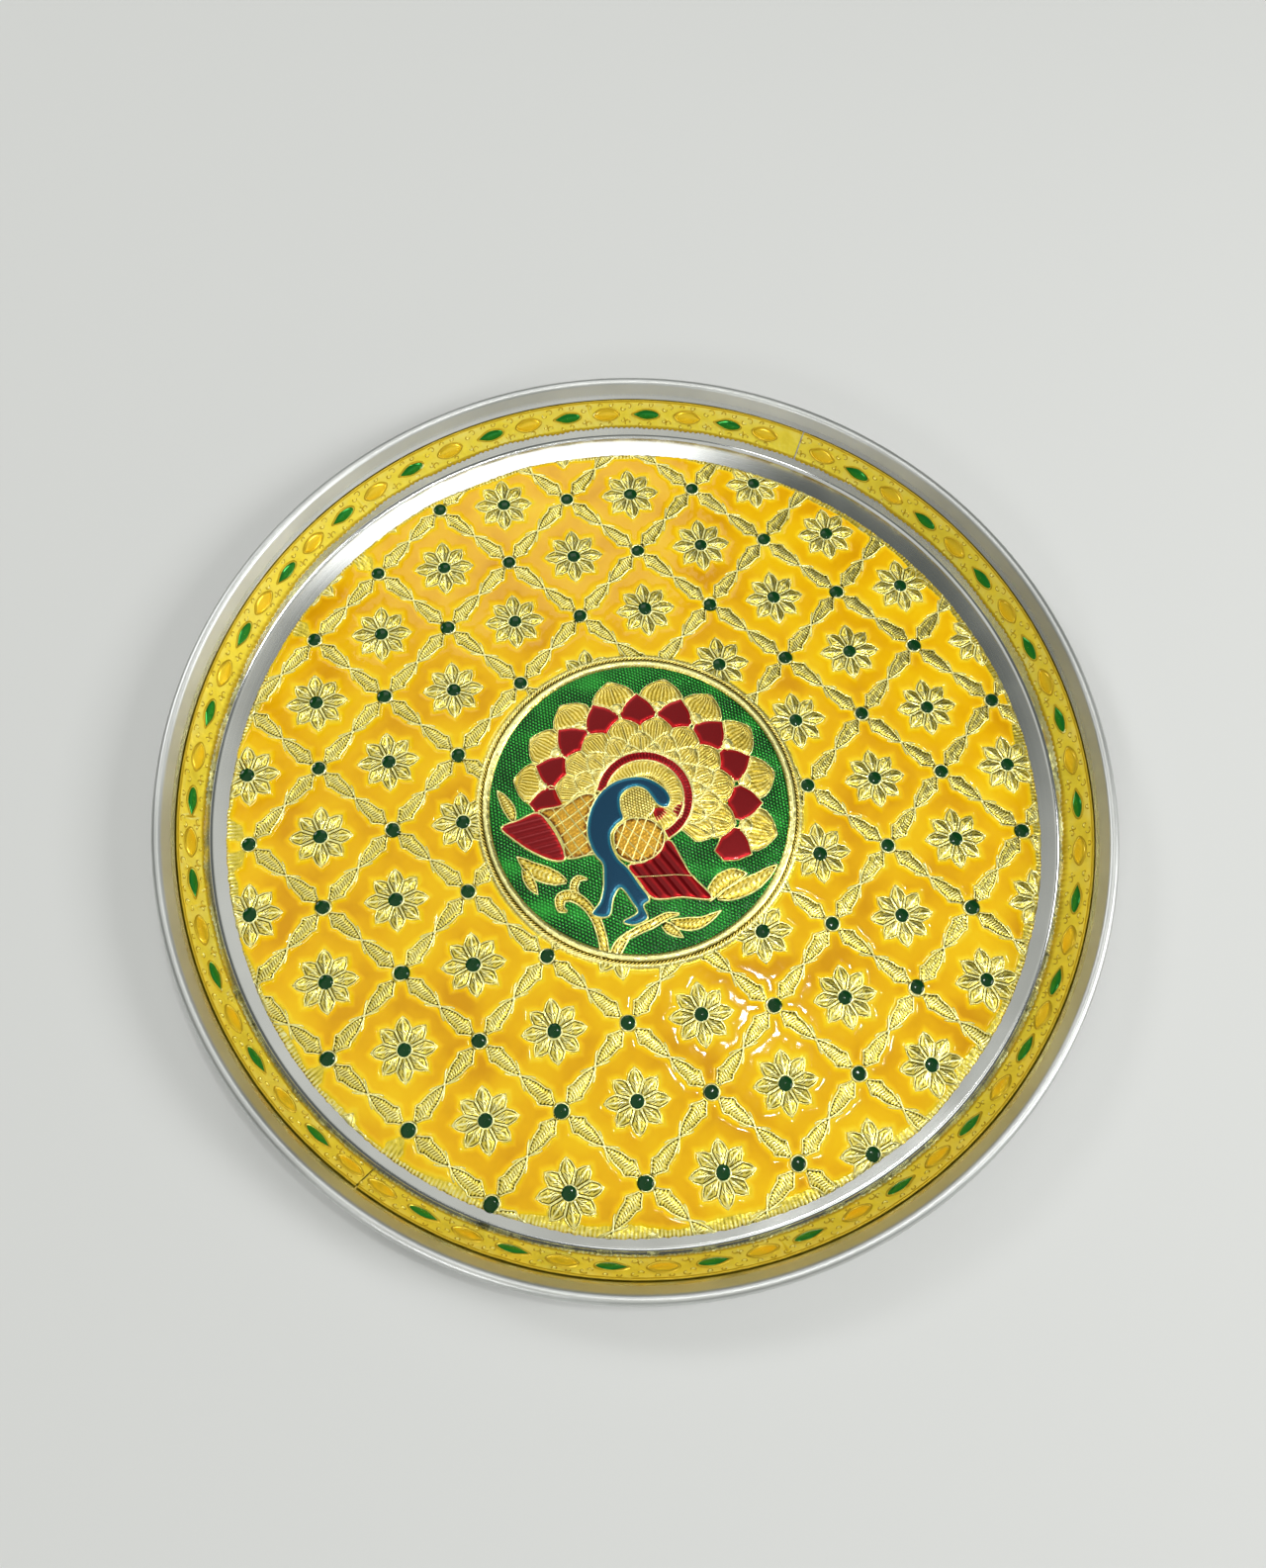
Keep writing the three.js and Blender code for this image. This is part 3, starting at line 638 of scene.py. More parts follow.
def lattice_distance(x, y):
    """Distance from the nearest flower, bar or drop, worked out in one quarter of one cell."""
    across = (x - LATTICE_START[0]) / PITCH[0]
    up = (y - LATTICE_START[1]) / PITCH[1]
    p = 2 * np.floor((across + up) / 2) + 1
    q = 2 * np.floor((across - up) / 2) + 1
    dx = abs(across - (p + q) / 2) * PITCH[0]
    dy = abs(up - (p - q) / 2) * PITCH[1]
    along = ((PITCH[0] - dx) * PITCH[0] + dy * PITCH[1]) / BAR
    off = (PITCH[0] * PITCH[1] - dx * PITCH[1] - dy * PITCH[0]) / BAR
    reach = BAR / 2 - NECK
    place = 1 - abs(along - BAR / 2) / reach
    half = np.interp(place, BAR_PLACES, BAR_HALVES, left=-9)
    to_bar = off - half
    to_drop = np.minimum(np.hypot(dx - PITCH[0], dy), np.hypot(dx, dy - PITCH[1])) - DROP_REACH
    angle = np.arctan2(dy, dx) % (math.pi / 4)
    angle = np.minimum(angle, math.pi / 4 - angle)
    far = np.hypot(dx, dy)
    to_flower = -9 + 0 * far
    for start, end in FLOWER_SIDES:
        step = np.array(end) - start
        normal = np.array([step[1], -step[0]]) / np.hypot(*step)
        line = far * np.cos(angle) * normal[0] + far * np.sin(angle) * normal[1]
        line = line - normal @ np.array(start)
        to_flower = np.maximum(to_flower, line)
    return np.minimum(np.minimum(to_bar, to_drop), to_flower)


POOL_MESH = 0.55
span = np.arange(-135, 135, POOL_MESH)
x, y = np.meshgrid(span, span)
distance = lattice_distance(x, y) - 0.12 + 0.2 * waver(x, y, 5, 21)
angle = np.arctan2(y, x)
# The foil is left bare along its trimmed edge, most of all at the right and in front.
bare = 1.0 + 1.2 * waver(x, y, 26, 22) + 1.2 * np.cos(angle - math.radians(10)).clip(0)
bare += 2.2 * np.sin(-angle).clip(0) ** 3
distance = np.minimum(distance, to_edge(x, y) - bare.clip(0.4))
distance = np.minimum(distance, np.hypot(x - MEDALLION[0], y - MEDALLION[1]) - BORDER_OUTER - 0.5)
ripple = 0.025 * waver(x, y, 9, 23) + 0.012 * waver(x, y, 3, 24)
pools, depth = pour(x, y, distance, 0.18, 0.34, 0.55, ripple)
print("yellow covers", round(float((distance > 0).sum()) * POOL_MESH**2 / 100), "cm2")

# %% [markdown]
# ## Enamel as a material
# Cold enamel is a tinted resin: smooth, with a weak shine of its own. Where it is thin the
# foil lightens it, so the colour follows the mark "depth", and a cloudy noise stands for the
# pigment that settles unevenly. The transparent colours are given some of the foil's metallic
# value, because one looks through them onto metal.

# %% Enamel material
def enamel(name, stops, roughness, coat=0.0, metallic=0.0, grain=0.5, strength=0.1, clouds=0.3):
    """Stops give the colour by depth; grain is the size in mm of the texture seen in it."""
    material, shader = new_material(name)
    links = material.node_tree.links
    place = add(material, "ShaderNodeTexCoord").outputs["Object"]
    deep = add(material, "ShaderNodeAttribute", {"attribute_name": "depth"}).outputs["Fac"]
    patches = {"Scale": 1 / (24 * MM), "Detail": 4.0}
    wide = add(material, "ShaderNodeTexNoise", patches, Vector=place)
    die = {"Scale": 1 / (grain * MM), "Detail": 3.0}
    fine = add(material, "ShaderNodeTexNoise", die, Vector=place)
    mixed = add(material, "ShaderNodeMath", {"operation": "MULTIPLY_ADD", "use_clamp": True})
    links.new(wide.outputs["Fac"], mixed.inputs[0])
    mixed.inputs[1].default_value = clouds
    links.new(deep, mixed.inputs[2])
    links.new(ramp(material, mixed.outputs[0], stops), shader.inputs["Base Color"])
    shader.inputs["Metallic"].default_value = metallic
    shader.inputs["Roughness"].default_value = roughness
    shader.inputs["Specular IOR Level"].default_value = 0.25
    shader.inputs["Coat Weight"].default_value = coat
    shader.inputs["Coat Roughness"].default_value = 0.05
    grains = {"Strength": strength, "Distance": 0.1 * MM}
    bump = add(material, "ShaderNodeBump", grains, Height=fine.outputs["Fac"])
    links.new(bump.outputs["Normal"], shader.inputs["Normal"])
    return material


yellow_stops = [
    (0.3, "#FFE03C"),
    (0.5, "#FFD820"),
    (0.66, "#FAC80A"),
    (0.8, "#F2B804"),
    (0.95, "#DE9E00"),
]
yellow = enamel("yellow cold enamel", yellow_stops, 0.06, grain=0.4, strength=0.03, clouds=0.9)
on_floor("yellow_enamel", pools, FLOOR_FACE, yellow, "amber_enamel", depth=0.35 * depth)

# %% [markdown]
# ## Domes and drops
# In each flower and on each crossing the foil has a small dome, and on it sits a drop of dark
# green enamel. The drops are set by hand, so each is a little off its dome and leaves a
# crescent of gold beside it.

# %% Domes and drops
def button(radius, height, centre, columns=18, shares=(1.06, 1, 0.93, 0.8, 0.6, 0.35, 0.02)):
    """A round drop: height follows a circle's arc, steep at the edge."""
    angle = np.linspace(0, 2 * math.pi, columns, endpoint=False)
    rows = []
    for share in shares:
        ring = polar(radius * share, angle) + centre
        rise = height * math.sqrt(max(1 - share**2, 0)) if share <= 1 else -0.3
        rows.append(np.column_stack([ring, np.full(columns, rise)]))
    return grid(np.array(rows).transpose(1, 0, 2), closed=True)


spots = [spot for spot in flowers + crossings if to_edge(*spot) > 2]
spots = [spot for spot in spots if np.hypot(*(spot - MEDALLION)) > BORDER_OUTER + 1.5]
DOME_RADIUS, DOME_HEIGHT = 2.5, 0.6
DROP_FOOT = 0.42  # a drop's foot above the foil
domes = joined([button(DOME_RADIUS, DOME_HEIGHT, spot) for spot in spots])
on_floor("floor_domes", domes, FLOOR_FACE, floor_gold, "floor_foil")
drops = []
for spot in spots:
    radius, height = random.uniform(2.25, 2.45), random.uniform(0.45, 0.6)
    vertices, quads = button(radius, height, spot + jitter(0.2))
    drops.append((vertices + [0, 0, DROP_FOOT], quads))
dark_green = enamel(
    "dark green enamel", [(0.1, "#0A4018"), (0.4, "#042208")], 0.08, grain=0.6, strength=0.05
)
vertices, quads = joined(drops)
shallow = 0 * vertices[:, 2]
on_floor("green_drops", (vertices, quads), FLOOR_FACE, dark_green, "green_enamel", depth=shallow)

# %% [markdown]
# ## The medallion
# A second, round foil lies on the first: a peacock with its tail spread, the common figure of
# this kind of plate. The outlines of its cells are drawn as points about the medallion's
# centre and smoothed to curves. Those curves serve twice: as the raised gold wires between
# the colours and as the banks of the enamel.

# %% Outlines of the figure
neck_points = [
    [10, 0.4], [9.2, 3.5], [7.2, 5.9], [4.6, 7.9], [1.6, 9.1], [-1.8, 9.4], [-5.8, 8.9],
    [-9.6, 7.3], [-13, 4.6], [-15.7, 0.8], [-17.4, -3.4], [-18.1, -7.8], [-17.6, -12],
    [-16.3, -15.4], [-14.3, -18.6], [-14.5, -23], [-15, -26.6], [-16.6, -30.8], [-19.3, -34.3],
    [-14.2, -35.5], [-12, -29.6], [-9.3, -27], [-6.4, -31.9], [-5.2, -35.4], [-9.9, -37.7],
    [-6.4, -39.1], [-2.2, -37.4], [-3, -33.4], [-0.9, -31.5], [-3.4, -26.6], [-6.4, -20.9],
    [-9.2, -17.4], [-10.7, -13], [-10.5, -8.9], [-8.3, -6.1], [-6, -4.3], [-6.4, -0.8],
    [-5.9, 3.2], [-3.3, 5.4], [-0.1, 5.9], [2.5, 4.5], [4.3, 1.5], [5.8, -1], [8.4, -2],
]
left_wing_points = [
    [-45.3, -3], [-39.5, -1.1], [-33.4, 0.7], [-30, -3.2], [-27, -9.8], [-26, -15.4],
    [-29.8, -15.6], [-36.4, -11.9], [-41.8, -7.3],
]
left_shoulder_points = [
    [-32.8, 1.2], [-26, 2], [-17, 5.4], [-13, 2], [-15.6, -8], [-14.4, -14.8], [-18, -14.9],
    [-25.3, -15.4], [-26.3, -9.8], [-29.3, -3],
]
right_wing_points = [
    [7.4, -12.8], [10.9, -19.2], [13.3, -25], [19, -33.4], [9.7, -32], [0.6, -31.4],
    [-3.4, -25.4], [-6.2, -20], [0, -19],
]
oval_points = [
    [-1.8, -4.6], [3, -6], [6, -9.2], [6.4, -12], [5, -15.6], [1.8, -18.2], [-2.4, -19.2],
    [-6.2, -18.4], [-9.2, -15.8], [-9.8, -11.9], [-9, -8], [-5.4, -5.2],
]
throat_points = [[5, -1.9], [8.3, -3], [7.4, -4.8], [5, -6.4], [4.2, -4]]
beak_points = [[10.3, -2.9], [14.3, -0.6], [13.6, -3.8], [12, -6.3]]
neck_line = smooth(neck_points)
left_wing_line = smooth(left_wing_points, 4)
left_shoulder_line = smooth(left_shoulder_points, 4)
right_wing_line = smooth(right_wing_points, 4)
oval_line = smooth(oval_points, 4)
throat_line = smooth(throat_points, 4)
beak_line = smooth(beak_points, 4)
HALO = np.array([1.8, 2.2])  # centre of the collar
COLLAR_OUTER, COLLAR_INNER = 15.8, 12.8
bow = np.radians(np.linspace(166, -68, 72))
collar_line = np.vstack([polar(COLLAR_OUTER, bow), polar(COLLAR_INNER, bow[::-1])]) + HALO
FAN = np.array([2.1, 0.7])  # where the lines of the tail meet


def petal_line(root, tip, table, angle):
    """The outline of a tail petal; the table gives its half-width by share of its length."""
    share = np.array([0, 0.12, 0.25, 0.36, 0.45, 0.62, 0.75, 0.88, 0.95, 1])
    half = np.interp(share, *table)
    along = root + (tip - root) * share
    side = np.column_stack([along, half])
    other = np.column_stack([along, -half])[::-1]
    line = np.vstack([side, other[1:]])
    c, s = math.cos(angle), math.sin(angle)
    return line @ np.array([[c, s], [-s, c]]) + FAN


RED_TABLE = ([0, 0.36, 0.7, 1], [4.6, 6.1, 4.0, 0])  # half-width by share of the length
# Two sets of directions for the petals of the tail; its tiers use them in turn.
RED_ANGLES = np.radians([175, 155, 133, 111, 88, 65, 41, 18, -7, -34])
FAN_ANGLES = np.radians([164, 144, 124, 100, 75, 53, 30, 7, -21])
RED_REACH = (27, 38.2)  # root and tip
red_lines = [petal_line(*RED_REACH, RED_TABLE, angle) for angle in RED_ANGLES]
print("points in the outline of the neck:", len(neck_line))

# %% Distance inside an outline
def inside(outline, x, y):
    """Distance from a closed outline, positive on its inner side."""
    near = np.full(x.shape, 1e9)
    odd = np.zeros(x.shape, bool)
    for (ax, ay), (bx, by) in zip(outline, np.roll(outline, -1, 0)):
        dx, dy = bx - ax, by - ay
        share = np.clip(((x - ax) * dx + (y - ay) * dy) / (dx * dx + dy * dy + 1e-12), 0, 1)
        near = np.minimum(near, (x - ax - share * dx) ** 2 + (y - ay - share * dy) ** 2)
        if ay != by:
            odd ^= ((ay > y) != (by > y)) & (x < ax + (y - ay) / (by - ay) * dx)
    return np.sqrt(near) * np.where(odd, 1, -1)


def field(outline, pitch, room=1.2):
    """A square mesh that just covers an outline."""
    low, high = outline.min(0) - room, outline.max(0) + room
    return np.meshgrid(np.arange(low[0], high[0], pitch), np.arange(low[1], high[1], pitch))


MESH = 0.3


def fill(outline, level, crown=0.12, over=(), texture=None, pitch=MESH):
    """Enamel inside an outline, kept clear of the cells that lie over it."""
    x, y = field(outline, pitch)
    distance = inside(outline, x, y)
    for other in over:
        distance = np.minimum(distance, -inside(other, x, y))
    ripple = texture(x, y) if texture else 0 * x
    sheet, depth = pour(x, y, distance, level, crown, 0.5, ripple * np.clip(distance / 0.6, 0, 1))
    return sheet, np.clip(depth - 2.5 * ripple.ravel(), 0, 1)


print("a test cell has", len(fill(beak_line, 0.5)[0][1]), "faces")

# %% [markdown]
# ## Enamel in the cells
# The coloured enamels are transparent, so the die's texture in the foil shows through them:
# dots under the green, barbs under the red feathers, fine radial lines under the collar. The
# texture is made in the surface of each pool, where it catches the light in the same way.

# %% Textures under the enamel
def stippled(pitch, height, seed):
    """Round dots in a honeycomb, from three sets of waves."""

    def texture(x, y):
        x = x + 0.12 * waver(x, y, 6, seed)
        y = y + 0.12 * waver(x, y, 6, seed + 1)
        k = 4 * math.pi / (pitch * math.sqrt(3))
        waves = np.cos(k * x) + np.cos(k * (0.5 * x + 0.866 * y)) + np.cos(k * (0.866 * y - 0.5 * x))
        return height * np.clip(waves / 3, -0.25, 1)

    return texture


def feathered(angle, pitch, height, start=(0, 0)):
    """Round barbs side by side, with a sharp valley between them."""
    normal = np.array([-math.sin(angle), math.cos(angle)])

    def texture(x, y):
        place = ((x - start[0]) * normal[0] + (y - start[1]) * normal[1]) / pitch
        return height * (np.abs(np.sin(math.pi * place)) ** 0.7 - 0.6)

    return texture


def rayed(centre, rays, height):
    """Fine lines that run out from a centre."""

    def texture(x, y):
        return height * np.cos(rays * np.arctan2(y - centre[1], x - centre[0]))

    return texture


# %% Colours of the cells
def see_through(name, stops, roughness, metallic):
    """A transparent enamel over foil, with a thin clear skin."""
    return enamel(name, stops, roughness, coat=0.2, metallic=metallic)


red = see_through("red enamel", [(0.1, "#D01018"), (0.9, "#7C040C")], 0.25, 0.6)
blue = see_through("blue enamel", [(0.1, "#2890A8"), (0.9, "#063C58")], 0.25, 0.5)
# Amber runs the other way: dark brown where it is shallow, along the cells' edges, and light in the deep
# middle. This is painted shade along the wires and a painted sheen on the domed middle.
amber = see_through("amber enamel", [(0.1, "#3C1C04"), (0.6, "#8E580E"), (1, "#CC9C30")], 0.3, 0.8)
green = see_through("green enamel", [(0.1, "#3CC844"), (0.75, "#013008")], 0.22, 0.6)
print("enamels:", red.name, blue.name, amber.name, green.name)

# %% Fill the figure
COLLAR = 0.6  # heights above the medallion's foil
WING = 0.7
NECK_LEVEL = 0.78
OVAL = 0.86
halo_disc = polar(COLLAR_OUTER, np.linspace(0, 2 * math.pi, 90, endpoint=False)) + HALO
upper = [neck_line, oval_line, right_wing_line, left_wing_line, left_shoulder_line, halo_disc]


def lay(name, fills, material, slot, replaces=()):
    """Places fills, given about the medallion's centre, as one piece."""
    sheet = joined([moved(part, 0, *MEDALLION) for part, _ in fills])
    depth = np.concatenate([deep for _, deep in fills])
    on_floor(name, sheet, MEDALLION_FACE, material, slot, replaces, depth=depth)


neck = fill(neck_line, NECK_LEVEL, 0.3, texture=stippled(1.0, 0.05, 31))
lay("neck_enamel_sheet", [neck], blue, "blue_enamel", ["neck_enamel"])
oval = fill(oval_line, OVAL, 0.5, [neck_line], stippled(1.3, 0.16, 33))
lay("oval_enamel_sheet", [oval], amber, "amber_enamel", ["wing_oval_enamel"])
shoulder = fill(left_shoulder_line, WING, 0.15, [neck_line], stippled(1.3, 0.16, 35))
lay("shoulder_enamel_sheet", [shoulder], amber, "amber_enamel", ["left_shoulder_enamel"])
barbs = feathered(math.radians(9), 2.3, 0.17, (-45, -3))
wing = fill(left_wing_line, WING, 0.1, [left_shoulder_line], barbs)
lay("left_wing_sheet", [wing], red, "red_enamel", ["left_wing_enamel"])
barbs = feathered(math.radians(-58), 3.2, 0.42, (19, -33.4))
wing = fill(right_wing_line, WING, 0.1, [neck_line, oval_line], barbs)
lay("right_wing_sheet", [wing], red, "red_enamel", ["right_wing_enamel"])
small = [fill(line, COLLAR, 0.1, [neck_line]) for line in (throat_line, beak_line)]
lay("head_enamel_sheet", small, red, "red_enamel", ["throat_enamel", "beak_enamel"])
over = [neck_line, oval_line, right_wing_line, left_shoulder_line]
collar = fill(collar_line, COLLAR, 0.15, over, rayed(HALO, 84, 0.11), 0.25)
lay("collar_enamel_sheet", [collar], red, "red_enamel", ["collar_enamel"])

# %% Fill the tail
# Tiers of gold petals as root, tip and half-width; red petals show between the outer two.
OUTER_TIER = (31, 44, 7.6)
SECOND_TIER = (18, 30.3, 6.6)
ROUND_SHAPE = ([0, 0.25, 0.45, 0.62, 0.75, 0.88, 1], np.array([0.8, 0.97, 1, 0.97, 0.8, 0.5, 0]))
POINTED_SHARES = [0, 0.25, 0.45, 0.6, 0.77, 0.88, 0.95, 1]
POINTED_SHAPE = (POINTED_SHARES, np.array([0.8, 0.97, 1, 0.93, 0.69, 0.41, 0.19, 0]))


def tier_lines(angles, root, tip, half, shape=POINTED_SHAPE):
    """Outlines of a tier; the shape gives the half-width as a share of its largest value."""
    return [petal_line(root, tip, (shape[0], shape[1] * half), angle) for angle in angles]


second_lines = tier_lines(FAN_ANGLES, *SECOND_TIER, ROUND_SHAPE)
petals = [fill(line, 0.45, 0.15, second_lines + upper) for line in red_lines]
tail_names = ["tail_enamel_%02d" % (i + 1) for i in range(len(petals))]
lay("tail_enamel_sheet", petals, red, "red_enamel", tail_names)

# %% Leafy sprays
def curve(points, halves, steps=8):
    """A smooth spine with its half-widths."""
    spine = smooth(points, steps, closed=False)
    share = np.linspace(0, 1, len(spine))
    return spine, np.interp(share, np.linspace(0, 1, len(halves)), halves)


stem_points = [
    (-16.6, -48.4), (-17, -42), (-18.2, -36.3), (-21, -31), (-25, -27.7), (-28.5, -28), (-29, -31),
    (-27, -32.5),
]
branch_points = [(-14.8, -48.6), (-12, -44), (-6.5, -41.3), (-1, -39.4), (4, -37.4), (8, -37.2)]
long_leaf_points = [(20.6, -33.8), (27.5, -31.9), (34.6, -29), (41.6, -24.6)]
sprays = [
    curve([(-41.2, -1.6), (-42, 2.2), (-43.6, 6), (-45.7, 9.9)], [0.3, 1.6, 2.1, 1.9, 1.3, 0]),
    curve([(-41.3, -12.9), (-37, -17.3), (-31.8, -20.4), (-26.2, -23)], [0, 1.7, 2.6, 2.9, 2.4, 0.5]),
    curve([(-39, -17.2), (-37.7, -22), (-35.6, -26.2)], [1.2, 1.9, 1.5, 0]),
    curve(stem_points, [1.6, 1.6, 1.6, 1.6, 1.8, 2.0, 1.8, 1.4, 0.4]),
    curve([(-23.4, -28), (-24.2, -25), (-22.6, -22.4), (-19.6, -22.8)], [1.0, 1.4, 1.5, 1.1, 0.3]),
    curve(branch_points, [1.2, 1.2, 1.4, 1.5, 1.3, 0.4]),
    curve([(4.8, -39.2), (9.5, -40.6), (15, -40.4), (21.6, -37.4)], [0.5, 1.8, 2.3, 2.0, 1.2, 0]),
    curve([(2.6, -39.8), (5.4, -42.4), (8.4, -44.8)], [1.2, 1.9, 1.3, 0]),
    curve([(-8.4, -41.2), (-11, -44.4), (-12.6, -48.2)], [0.8, 1.4, 1.2, 0.4]),
    curve([(17.8, -34.2), (21, -29.8), (26, -27), (31.2, -26.6)], [0.5, 2.2, 2.9, 2.4, 0.2]),
    curve(long_leaf_points, [0.4, 2.2, 2.8, 2.7, 1.8, 0]),
]
STEM = 3  # the one spray whose ribs stand square to it


def outline_of(spine, half):
    step = np.gradient(spine, axis=0)
    step /= np.linalg.norm(step, axis=1)[:, None]
    side = np.column_stack([-step[:, 1], step[:, 0]]) * half[:, None]
    return np.vstack([spine + side, (spine - side)[::-1]])


spray_lines = [outline_of(*spray) for spray in sprays]
print("sprays:", len(spray_lines))

# %% The green ground
GROUND_RADIUS = 48.9
span = np.arange(-49.5, 49.6, MESH)
x, y = np.meshgrid(span, span)
distance = GROUND_RADIUS - np.hypot(x, y)
tail_lines = tier_lines(FAN_ANGLES, *OUTER_TIER) + red_lines + second_lines
for line in tail_lines + upper + [beak_line, throat_line] + spray_lines:
    distance = np.minimum(distance, -inside(line, x, y))
dots = stippled(1.15, 0.17, 41)(x, y)
sheet, depth = pour(x, y, distance, 0.2, 0.1, 0.4, dots * np.clip(distance / 0.5, 0, 1))
depth = np.clip(0.5 - 4.5 * dots.ravel() + 0.15 * waver(x, y, 14, 42).ravel(), 0, 1)
lay("ground_enamel_sheet", [(sheet, depth)], green, "green_enamel", ["ground_enamel"])

# %% [markdown]
# ## Gold of the medallion
# The gold forms are left bare: the tail petals in four tiers, the disc in the curl of the
# neck, the leafy sprays at the foot, a wire round every cell and a border of two beads.

# %% Tail petals
def tail_petal(root, tip, half, rise, angle, sector):
    """Sector is the angle between neighbours; a petal ends where the next begins."""
    share = np.concatenate([np.linspace(0, 1, 26), [1.02]])
    spine = np.column_stack([root + (tip - root) * share, 0 * share])
    width = half * np.interp(share, *POINTED_SHAPE)
    width = np.minimum(width, spine[:, 0] * math.tan(sector / 2) - 0.15)
    heights = [-0.1, rise * 0.6, rise + 0.12, rise - 0.35, rise - 0.1, rise, rise]
    section = ([-0.28, 0, 0.2, 0.5, 0.8, 1.6, 3], heights)
    rays = 0.13 * (share < 0.82)
    columns = np.linspace(0.92, 0.08, round(half * 1.2))
    part = ribbon(spine, width, section, EDGE_OFFSETS, columns, lines=rays)
    part[0][part[0][:, 0] > tip + 0.01, 2] = -0.1
    return moved(part, angle, *FAN)


def cap(root, half, length, rise, angle):
    """The small plain arch at the root of a petal."""
    share = np.linspace(0, 1, 9)
    width = half * np.sqrt(np.clip(1 - share**2, 0, 1))
    spine = np.column_stack([root + length * share, 0 * share])
    heights = [-0.1, rise * 0.7, rise + 0.12, rise - 0.1, rise, rise + 0.12]
    section = ([-0.25, 0, 0.2, 0.45, 0.9, 2], heights)
    return moved(ribbon(spine, width, section, EDGE_OFFSETS, (0.5,)), angle, *FAN)


def cut(part, outlines, lowest):
    """Takes away what lies under the upper cells."""
    vertices, quads = part
    depth = np.max([inside(line, vertices[:, 0], vertices[:, 1]) for line in outlines], 0)
    height = np.where(depth > 0.05, np.minimum(vertices[:, 2], lowest), vertices[:, 2])
    kept = (depth[quads] < 0.4).any(1)
    return np.column_stack([vertices[:, :2], height]), quads[kept]


def tier(angles, root, tip, half, rise, over):
    """A ring of petals, cut away where the next tier lies over it."""
    sectors = abs(np.gradient(angles))
    petals = [tail_petal(root, tip, half, rise, *spot) for spot in zip(angles, sectors)]
    return cut(joined(petals), over, 0.2)


THIRD_REACH = (13, 25)  # root and tip
FOURTH_REACH = (9, 20.5)
third_lines = tier_lines(RED_ANGLES, *THIRD_REACH, 4.2)
fourth_lines = tier_lines(FAN_ANGLES, *FOURTH_REACH, 3.4)
arches = joined([cap(31.5, 3.4, 4.2, 0.68, angle) for angle in FAN_ANGLES])
tiers = [
    tier(FAN_ANGLES, *OUTER_TIER, 0.5, red_lines),
    cut(arches, red_lines, 0.25),
    tier(FAN_ANGLES, *SECOND_TIER, 0.6, third_lines),
    tier(RED_ANGLES, *THIRD_REACH, 5.2, 0.72, fourth_lines),
    tier(FAN_ANGLES, *FOURTH_REACH, 4.4, 0.84, [halo_disc]),
]
tail = cut(joined(tiers), upper, 0.3)
print("tail faces:", len(tail[1]))

# %% Halo, disc and leaves
def rings(centre, radii, heights, columns):
    """Round rows of points about a centre, one for each radius."""
    angle = np.linspace(0, 2 * math.pi, columns, endpoint=False)
    rows = [
        np.column_stack([polar(radius, angle) + centre, height + 0 * angle])
        for radius, height in zip(radii, heights)
    ]
    return np.array(rows).transpose(1, 0, 2)


halo_radii = (12.9, 12.2, 11, 9.8, 8.6, 7.6, 7.2, 4, 0.1)
halo_heights = (0.5, 0.5, 0.52, 0.54, 0.52, 0.5, 0.42, 0.42, 0.42)
halo = rings(HALO, halo_radii, halo_heights, 120)
halo[::2, 1:6, 2] += 0.2  # every other line stands up
halo = grid(halo, closed=True)

DISC = np.array([-0.7, 0.3])
DISC_RADIUS = 5.6
x, y = field(polar(DISC_RADIUS, np.linspace(0, 6.2, 40)) + DISC, 0.24, 0.6)
distance = DISC_RADIUS - np.hypot(x - DISC[0], y - DISC[1])
dots = stippled(1.0, 0.15, 51)(x, y) * np.clip(distance / 0.5, 0, 1)
disc, _ = pour(x, y, distance, 0.5, 0.25, 1.0, dots)

leaf_section = ([-0.28, 0, 0.2, 0.42, 0.7, 2.5], [-0.1, 0.35, 0.6, 0.3, 0.42, 0.6])
leaves = []
for index, (spine, half) in enumerate(sprays):
    slant = 0.5 * (index != STEM)
    leaves.append(ribbon(spine, half, leaf_section, EDGE_OFFSETS, (0.55, 0.1), ribs=0.2, slant=slant))
print("leaves:", len(leaves))

# %% [markdown]
# ## Wires
# A raised wire runs round the cells and keeps the colours apart; over the amber cells a net
# of wires is laid as well. Each is a ribbon with a round section, most of them along the
# outline of a cell. A wire that passes under another form is cut away there, so that nothing
# runs through.

# %% Wires round the cells
def cell_wire(line, rise, width=0.8):
    return wire(line, width, rise, closed=True)


def wires_across(outline, angle, pitch, rise, foot, width=0.7):
    """Straight wires side by side over a cell."""
    way = polar(1, angle)
    normal = np.array([-way[1], way[0]])
    middle = outline.mean(0)
    runs = []
    for off in np.arange(-30, 30, pitch):
        along = np.arange(-26, 26, 0.5)
        line = middle + along[:, None] * way + off * normal
        line = line + 0.25 * np.sin(along / 4 + off)[:, None] * normal
        within = inside(outline, line[:, 0], line[:, 1]) > 0.1
        edges = np.flatnonzero(np.diff(np.concatenate([[0], within, [0]])))
        for first, last in edges.reshape(-1, 2):
            if last - first > 3:
                runs.append(wire(line[first:last], width, rise, foot))
    return joined(runs)


